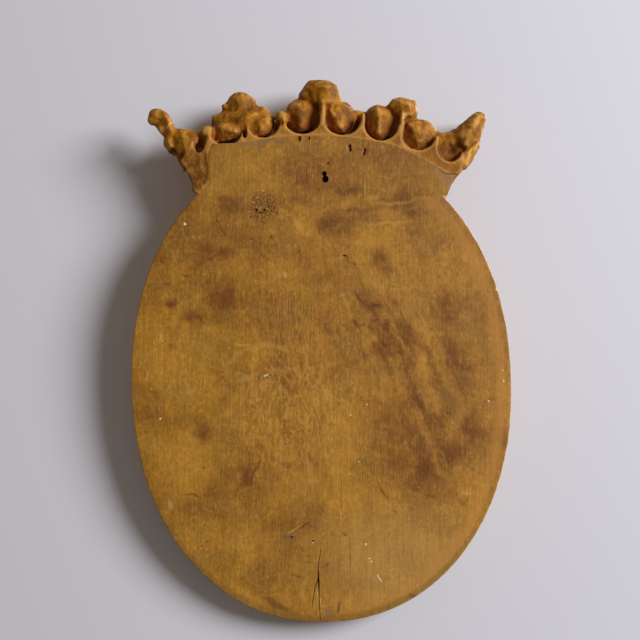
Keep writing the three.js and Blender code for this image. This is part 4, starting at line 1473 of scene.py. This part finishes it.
# %% [markdown]
# The knot near the head has lost its heart. What is left of it is brown and speckled almost
# black, with glints of the wash and a grey fleck in the middle. A few rubs near it are greyish.

# %% The knot and the grey rubs
knot = blot(tree, ragged, 262, 208, 38, 42, core=0.5)
specks = times(tree, knot, ramp(tree, clouds(tree, place, 360, 3, 0.6), 0.5, 0.6))
glints = times(tree, knot, ramp(tree, clouds(tree, place, 330, 2, 0.5), 0.56, 0.64))
fleck = blot(tree, crisp, 261.6, 206.5, 10, 5)
grey_rubs = strongest(
    tree,
    [
        blot(tree, ragged, 290, 537, 20, 14, 20),
        blot(tree, ragged, 328, 613, 18, 14),
        blot(tree, crisp, 447, 171, 42, 24, 38, 0.6),
        streak(tree, ragged, 214, 146, 300, 140, 8),
    ],
)
colour = coats(
    tree,
    colour,
    (knot, 0.62, 108, 64, 22),
    (specks, 0.55, 46, 28, 12),
    (glints, 0.5, 214, 154, 58),
    (fleck, 0.6, 124, 104, 84),
    (grey_rubs, 0.6, 124, 96, 66),
)
print("painted the knot, with", len(tree.nodes), "nodes")

# %% [markdown]
# Last come the light marks: drops of white that fell on it, pale rubs, long strokes of the brush
# where the wash dried light, and a few bright chips.

# %% Splashes of white and pale rubs
SPLASH_STROKES = ((263.5, 376.5, 269, 374, 1.4), (377, 573.5, 382, 583, 1.6))
SPLASH_SPOTS = (
    (185, 224, 4, 3.4), (160.2, 418.8, 2.6, 2.6), (367, 404.5, 2, 2), (488.6, 401, 2, 2.4),
    (350.5, 415, 2, 2), (352.6, 382.7, 1.6, 1.6), (359, 462, 2, 2), (366, 544, 2.4, 2.4),
    (369.5, 558.5, 2.6, 2), (371.5, 561.5, 2.4, 2), (313, 542, 2.6, 4), (263, 191, 2, 2),
)  # fmt: skip
RUB_STROKES = (
    (341.3, 506, 341.7, 519, 2), (286, 534, 301, 525, 2.5), (319, 588, 319, 608, 3),
    (364.6, 170, 363.6, 200, 1.6), (232, 346, 252, 344, 2.5), (346.4, 143, 347.6, 152, 2.4),
    (361.4, 148, 362, 155, 1.6), (463, 493, 471, 495, 4),
)  # fmt: skip
RUB_SPOTS = (
    (147.6, 376, 4, 9), (150.4, 389.7, 4, 6), (160, 337, 3, 10), (341.7, 518.4, 3.4, 6),
    (169.4, 505.5, 9, 14), (285, 275, 7, 7),
)  # fmt: skip
BRUSH_STROKES = (
    (226, 366, 244, 350, 9), (244, 350, 270, 344, 9), (270, 344, 292, 352, 9),
    (230, 384, 262, 372, 8), (262, 372, 300, 368, 8), (276, 206, 292, 214, 8),
    (292, 214, 304, 232, 8), (356, 206, 430, 200, 7), (352, 224, 420, 222, 7),
    (300, 440, 316, 500, 8), (340, 280, 352, 330, 9),
)  # fmt: skip
CHIPS = ((481.6, 525.4, 3.4, 3.4), (497, 289.5, 3, 2.4), (503, 370, 2, 3), (503.5, 381, 2, 3))
colour = coats(
    tree,
    colour,
    (marks(tree, crisp, SPLASH_STROKES, SPLASH_SPOTS), 0.85, 232, 222, 200),
    (marks(tree, ragged, RUB_STROKES, RUB_SPOTS), 0.32, 214, 176, 112),
    (streaks(tree, ragged, BRUSH_STROKES, core=0.0), 0.3, 198, 150, 74),
    (blots(tree, crisp, CHIPS, core=0.6), 0.9, 250, 214, 120),
)
print("laid", len(SPLASH_STROKES) + len(SPLASH_SPOTS), "splashes of white")

# %% [markdown]
# The edge has its own bands. On the lit side a band near it is rubbed paler, and the arris
# carries a broken pale line, worn to bare wood and partly painted highlight. Round the foot the
# edge is dull and dark, and on the other side a thin dark lip along it is painted shade.

# %% Follow the edge
near_edge = times(tree, ramp(tree, inset, 0.03, 0.014), ramp(tree, inset, 0.004, 0.012))
dull = times(tree, ramp(tree, inset, 0.01, 0.006), ramp(tree, inset, 0.001, 0.003))
arris = times(tree, ramp(tree, inset, 0.002, 0.0006), rising(tree, place, "Y", -0.0035, -0.0012))
# Worn paint and painted highlight on the arris, on the lit side only.
arris_wear_and_highlight = times(tree, arris, ramp(tree, mottle["Small"], 0.42, 0.56))
# Painted shade: a thin dark lip along the edge on the side away from the light.
painted_shade_lip = times(tree, ramp(tree, inset, 0.0022, 0.0004), on_the_back)
colour = coats(
    tree,
    colour,
    (times(tree, near_edge, to_right), 0.5, 178, 124, 58),
    (times(tree, dull, to_foot), 0.45, 112, 84, 40),
    (times(tree, arris_wear_and_highlight, to_right), 0.7, 232, 196, 132),
    (times(tree, painted_shade_lip, without(tree, to_right)), 0.55, 104, 52, 22),
)
print("followed the edge, with", len(tree.nodes), "nodes")

# %% Show bare wood in the holes, paint shade into the front's hollows, and put the wash on the board
# Sheltered hollows off the back are darkened: painted shade.
painted_hollow_shade = ramp(tree, stored(tree, "shelter"), 0.08, 0.6)
colour = coats(
    tree,
    colour,
    (stored(tree, "bare"), 0.88, 104, 56, 20),
    (times(tree, painted_hollow_shade, without(tree, on_the_back)), 0.75, 66, 38, 16),
)
height = heaped(
    tree,
    (grain["Lines"], 0.8),
    (grain["Fibres"], 0.5),
    (mottle["Small"], 0.8),
    (specks, -1.5),
    (combed, -0.8),
)
roughness = maths(tree, "MULTIPLY_ADD", mottle["Small"], 0.35, 0.34)
put_on(board, wash, colour, roughness, height, gloss=0.22, strength=0.5, distance=0.0007)

# %% [markdown]
# ## Thicker ochre for the coronet
# The carving took more paint than the board, and has hardly any shine left. Its ridges are
# painted pale, as worn paint and painted highlight, and its hollows and creases darker and
# redder, as painted shade. The flat webs between the pockets, level with the board's back, are
# paler and show their grain.

# %% Places and noises for the coronet's ochre
carved, tree, place = new_paint("ochre_on_carving")
ragged = pushed(tree, place, 0.006, 60)
grain = put_group(tree, grain_tree, place).outputs
mottle = put_group(tree, mottle_tree, place).outputs
relief = stored(tree, "relief")
shelter = stored(tree, "shelter")
uneven = maths(tree, "SUBTRACT", mottle["Small"], 0.5)
flat_back = rising(tree, place, "Y", -0.0012, -0.0002)
off_the_back = without(tree, flat_back)
fine = clouds(tree, place, 190, 5, 0.7)


def broken_by(spread, value, low, high):
    """A ramp of a value whose border is made uneven by the small clouds."""
    return ramp(tree, maths(tree, "MULTIPLY_ADD", uneven, spread, value), low, high)


print("the coronet's ochre starts with", len(tree.nodes), "nodes")

# %% Lay the ochre, wear it, and paint shade into its hollows and creases
colour = mix(tree, ramp(tree, mottle["Small"], 0.38, 0.62), paint(114, 70, 12), paint(162, 106, 22))
colour = coats(
    tree,
    colour,
    (ramp(tree, mottle["Broad"], 0.5, 0.66), 0.45, 116, 84, 28),
    (flat_back, 0.6, 142, 96, 42),
    (times(tree, ramp(tree, grain["Lines"], 0.45, 0.65), flat_back), 0.2, 104, 66, 28),
    # Pale ridges: worn paint and painted highlight. Reddish shelter and dark creases: painted shade.
    (broken_by(1.2, relief, 0.25, 0.85), 0.42, 198, 148, 78),
    (broken_by(0.5, shelter, 0.12, 0.5), 0.65, 138, 72, 20),
    (broken_by(0.4, relief, -0.15, -0.7), 0.5, 76, 38, 8),
    # The most sheltered hollows then turn a mid brown.
    (ramp(tree, shelter, 0.42, 0.8), 0.9, 150, 94, 44),
)
print("laid the coronet's ochre, with", len(tree.nodes), "nodes")

# %% [markdown]
# The photograph shows some places darker or paler than relief and shelter alone make them: the
# sawn side, the bowl, the shaded sides of the lobes, the cuts between them, and a few glints.
# These are spots and strokes again, and most of them stay off the flat back.

# %% Darken the sawn side, paint shade and shadow on lobes and cuts, and paint highlights on tips
TORN = (
    (177, 157, 186, 176, 7), (186, 176, 197, 193, 7), (196, 160, 203, 186, 2),
    (206.4, 146, 207, 186, 4.5),
)  # fmt: skip
# Painted shade on lobes that face away from the light.
PAINTED_SHADE_LOBES = ((299, 114, 30, 38), (238, 100, 28, 20), (232, 118, 24, 16), (308, 92, 20, 22))
# Painted highlights on tips that face the light.
PAINTED_HIGHLIGHT_TIPS = (
    (464, 132, 20, 16), (468, 156, 18, 34), (160, 129, 14, 12), (404, 113, 20, 12),
    (474, 122, 14, 14),
)  # fmt: skip
# Painted shade, reddish, on the sides of lobes away from the light.
PAINTED_SHADE_SIDES = (
    (291, 117, 14, 30), (301, 128, 20, 8), (330, 123, 16, 20), (347, 127, 12, 10),
    (370, 126, 11, 30), (405, 137, 11, 28), (256, 135, 26, 7), (218, 136, 16, 14),
    (308, 94, 20, 18), (231, 101, 14, 18), (216, 120, 12, 16), (391, 105, 12, 12),
    (462, 125, 12, 20, -40),
)  # fmt: skip
# Painted shadow in the cuts between lobes.
PAINTED_SHADOW_CUTS = (
    (316.5, 110, 313, 128, 8), (355.5, 118, 351, 130, 7), (396.5, 120, 390, 136, 7),
    (432.5, 134, 430, 148, 9), (277.5, 117, 276, 134, 7), (203, 141, 196, 153, 8),
    (301, 100, 313, 104, 3), (221, 113, 234, 112, 3),
)  # fmt: skip
# Painted highlights: small glints on the paint.
PAINTED_GLINTS = (
    (232, 134, 5, 4), (235.5, 129, 5, 3), (185, 140, 3, 9), (187.5, 149, 3, 12),
    (419, 145, 4, 8), (334, 96, 8, 16), (168.5, 124, 3, 18, 20),
)  # fmt: skip
rough_side = blot(tree, ragged, 194, 170, 40, 50, 0, 0.6)
bowl = blot(tree, ragged, 451, 148, 32, 30, 0, 0.7)
colour = coats(
    tree,
    colour,
    (streaks(tree, ragged, TORN), 0.75, 80, 42, 14),
    (times(tree, rough_side, ramp(tree, mottle["Small"], 0.6, 0.42)), 0.75, 86, 54, 14),
    (times(tree, bowl, off_the_back), 0.9, 80, 40, 20),
    (times(tree, blots(tree, ragged, PAINTED_SHADE_LOBES, 0.5), off_the_back), 0.75, 88, 48, 10),
    (times(tree, blots(tree, ragged, PAINTED_HIGHLIGHT_TIPS, 0.4), off_the_back), 0.5, 224, 168, 92),
    (times(tree, blots(tree, ragged, PAINTED_SHADE_SIDES, 0.4), off_the_back), 0.65, 112, 52, 12),
    (times(tree, streaks(tree, ragged, PAINTED_SHADOW_CUTS), off_the_back), 0.85, 96, 52, 20),
    (times(tree, blots(tree, ragged, PAINTED_GLINTS), off_the_back), 0.45, 220, 176, 110),
    (ramp(tree, fine, 0.48, 0.36), 0.18, 70, 38, 12),
)
print("laid", len(PAINTED_SHADOW_CUTS), "dark cuts,", len(PAINTED_HIGHLIGHT_TIPS), "pale tips and", len(PAINTED_GLINTS), "glints")

# %% Put the ochre on the coronet
roughness = maths(tree, "MULTIPLY_ADD", mottle["Small"], 0.24, 0.4)
roughness = maths(tree, "MULTIPLY_ADD", shelter, 0.4, roughness)
height = heaped(tree, (mottle["Small"], 1.0), (fine, 0.9))
put_on(coronet, carved, colour, roughness, height, gloss=0.1, strength=0.6, distance=0.0009)

# %% [markdown]
# ## Put the pieces on the frame
# Each carved piece takes the place of its CAD solid and moves with the part's one body.

# %% Ride and replace
for piece, solid, slot in (
    (board, "oval_board", "board_wood"),
    (coronet, "coronet", "coronet_wood"),
):
    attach(piece, "root")
    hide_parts(solid)

# %% [markdown]
# ## Floor, light and camera
# The photograph looks straight down at the piece, which lies on its face. Here the pale floor
# stands up behind it, touching the coronet's front and the foot of the rim. That is why it
# leans. Seen from its other side it is clear, so that the carved front can be looked at too.

# %% A pale floor
FLOOR_BEHIND = 0.0545
LEAN_HEIGHT = 640
LEAN_AWAY = 46
FLOOR_LEAN = math.atan(LEAN_AWAY / LEAN_HEIGHT)
floor_mesh = bmesh.new()
bmesh.ops.create_grid(floor_mesh, x_segments=1, y_segments=1, size=3)
upright = Matrix.Rotation(-math.pi / 2 + FLOOR_LEAN, 4, "X")
lie = Matrix.Translation((0, -FLOOR_BEHIND, 0)) @ upright
floor = body_from(placed(floor_mesh, lie), "floor")
if floor.data.polygons[0].normal.y < 0:
    floor.data.flip_normals()
print("the floor leans by", round(math.degrees(FLOOR_LEAN), 1), "degrees")

# %% Paint it so that it is clear from behind
pale = bpy.data.materials.new("pale_floor")
pale.use_nodes = True
tree = pale.node_tree
shader = tree.nodes["Principled BSDF"]
shader.inputs["Base Color"].default_value = (0.545, 0.55, 0.6, 1)
shader.inputs["Roughness"].default_value = 0.95
clear = node(tree, "BsdfTransparent").outputs[0]
behind = node(tree, "NewGeometry").outputs["Backfacing"]
shadow = node(tree, "LightPath").outputs["Is Shadow Ray"]
see_through = maths(tree, "MAXIMUM", behind, shadow)
blend = node(tree, "MixShader", {0: see_through, 1: shader.outputs[0], 2: clear})
tree.links.new(blend.outputs[0], tree.nodes["Material Output"].inputs["Surface"])
floor.data.materials.append(pale)
print("the floor's paint has", len(tree.nodes), "nodes")

# %% [markdown]
# A large window lights the piece from the photograph's right, and a dim, warm room fills its
# shadows. Two weaker lights stand on the other side. They show the carved front when the camera
# goes round, and can't reach the flat back.


# %% Soft light from the photograph's right
LIGHT_TARGET = Vector((0, 0, 0.05))


def soft_light(name, spot, size, power, colour):
    lamp = bpy.data.lights.new(name, "AREA")
    lamp.shape = "DISK"
    lamp.size = size
    lamp.energy = power
    lamp.color = colour
    light = bpy.data.objects.new(name, lamp)
    bpy.context.scene.collection.objects.link(light)
    light.location = spot
    sight = LIGHT_TARGET - Vector(spot)
    light.rotation_euler = sight.to_track_quat("-Z", "Y").to_euler()


soft_light("window", (-3.7, 2.6, 1.7), 2.4, 350, (0.98, 0.98, 1.0))
soft_light("front_window", (-1.5, -2.1, 1.1), 1.0, 46, (1.0, 0.98, 0.95))
soft_light("front_fill", (0.6, -2.4, 0.3), 1.4, 14, (0.94, 0.97, 1.0))
print("lit by", len(bpy.data.lights), "soft lights")

# %% A warm, dim room
world = bpy.data.worlds.new("room")
world.use_nodes = True
room_light = world.node_tree.nodes["Background"].inputs
room_light["Color"].default_value = (1.0, 0.86, 0.72, 1)
room_light["Strength"].default_value = 0.23
bpy.context.scene.world = world
bpy.context.scene.view_settings.view_transform = "Standard"
print("the room has a strength of", round(room_light["Strength"].default_value, 2))

# %% [markdown]
# The camera stands square to the back. Its focal length is given in pixels of the photograph,
# and its distance makes one of them 1.26 mm on the back. So every place that was read off the
# photograph comes out at the same pixel of the render.

# %% The camera looks straight at the back
SENSOR = 36
FRAME_PIXELS = 640
FOCAL_PIXELS = 956
CAMERA_AWAY = 1204.6
lens = bpy.data.cameras.new("camera")
lens.sensor_width = SENSOR
lens.lens = FOCAL_PIXELS / FRAME_PIXELS * SENSOR
camera = bpy.data.objects.new("camera", lens)
camera.location = (LOOK_OVER * MM, CAMERA_AWAY * MM, LOOK_UP * MM)
camera.rotation_euler = (math.pi / 2, 0, math.pi)
bpy.context.scene.collection.objects.link(camera)
bpy.context.scene.camera = camera
print("one pixel on the back is", round(CAMERA_AWAY / FOCAL_PIXELS, 2), "mm")
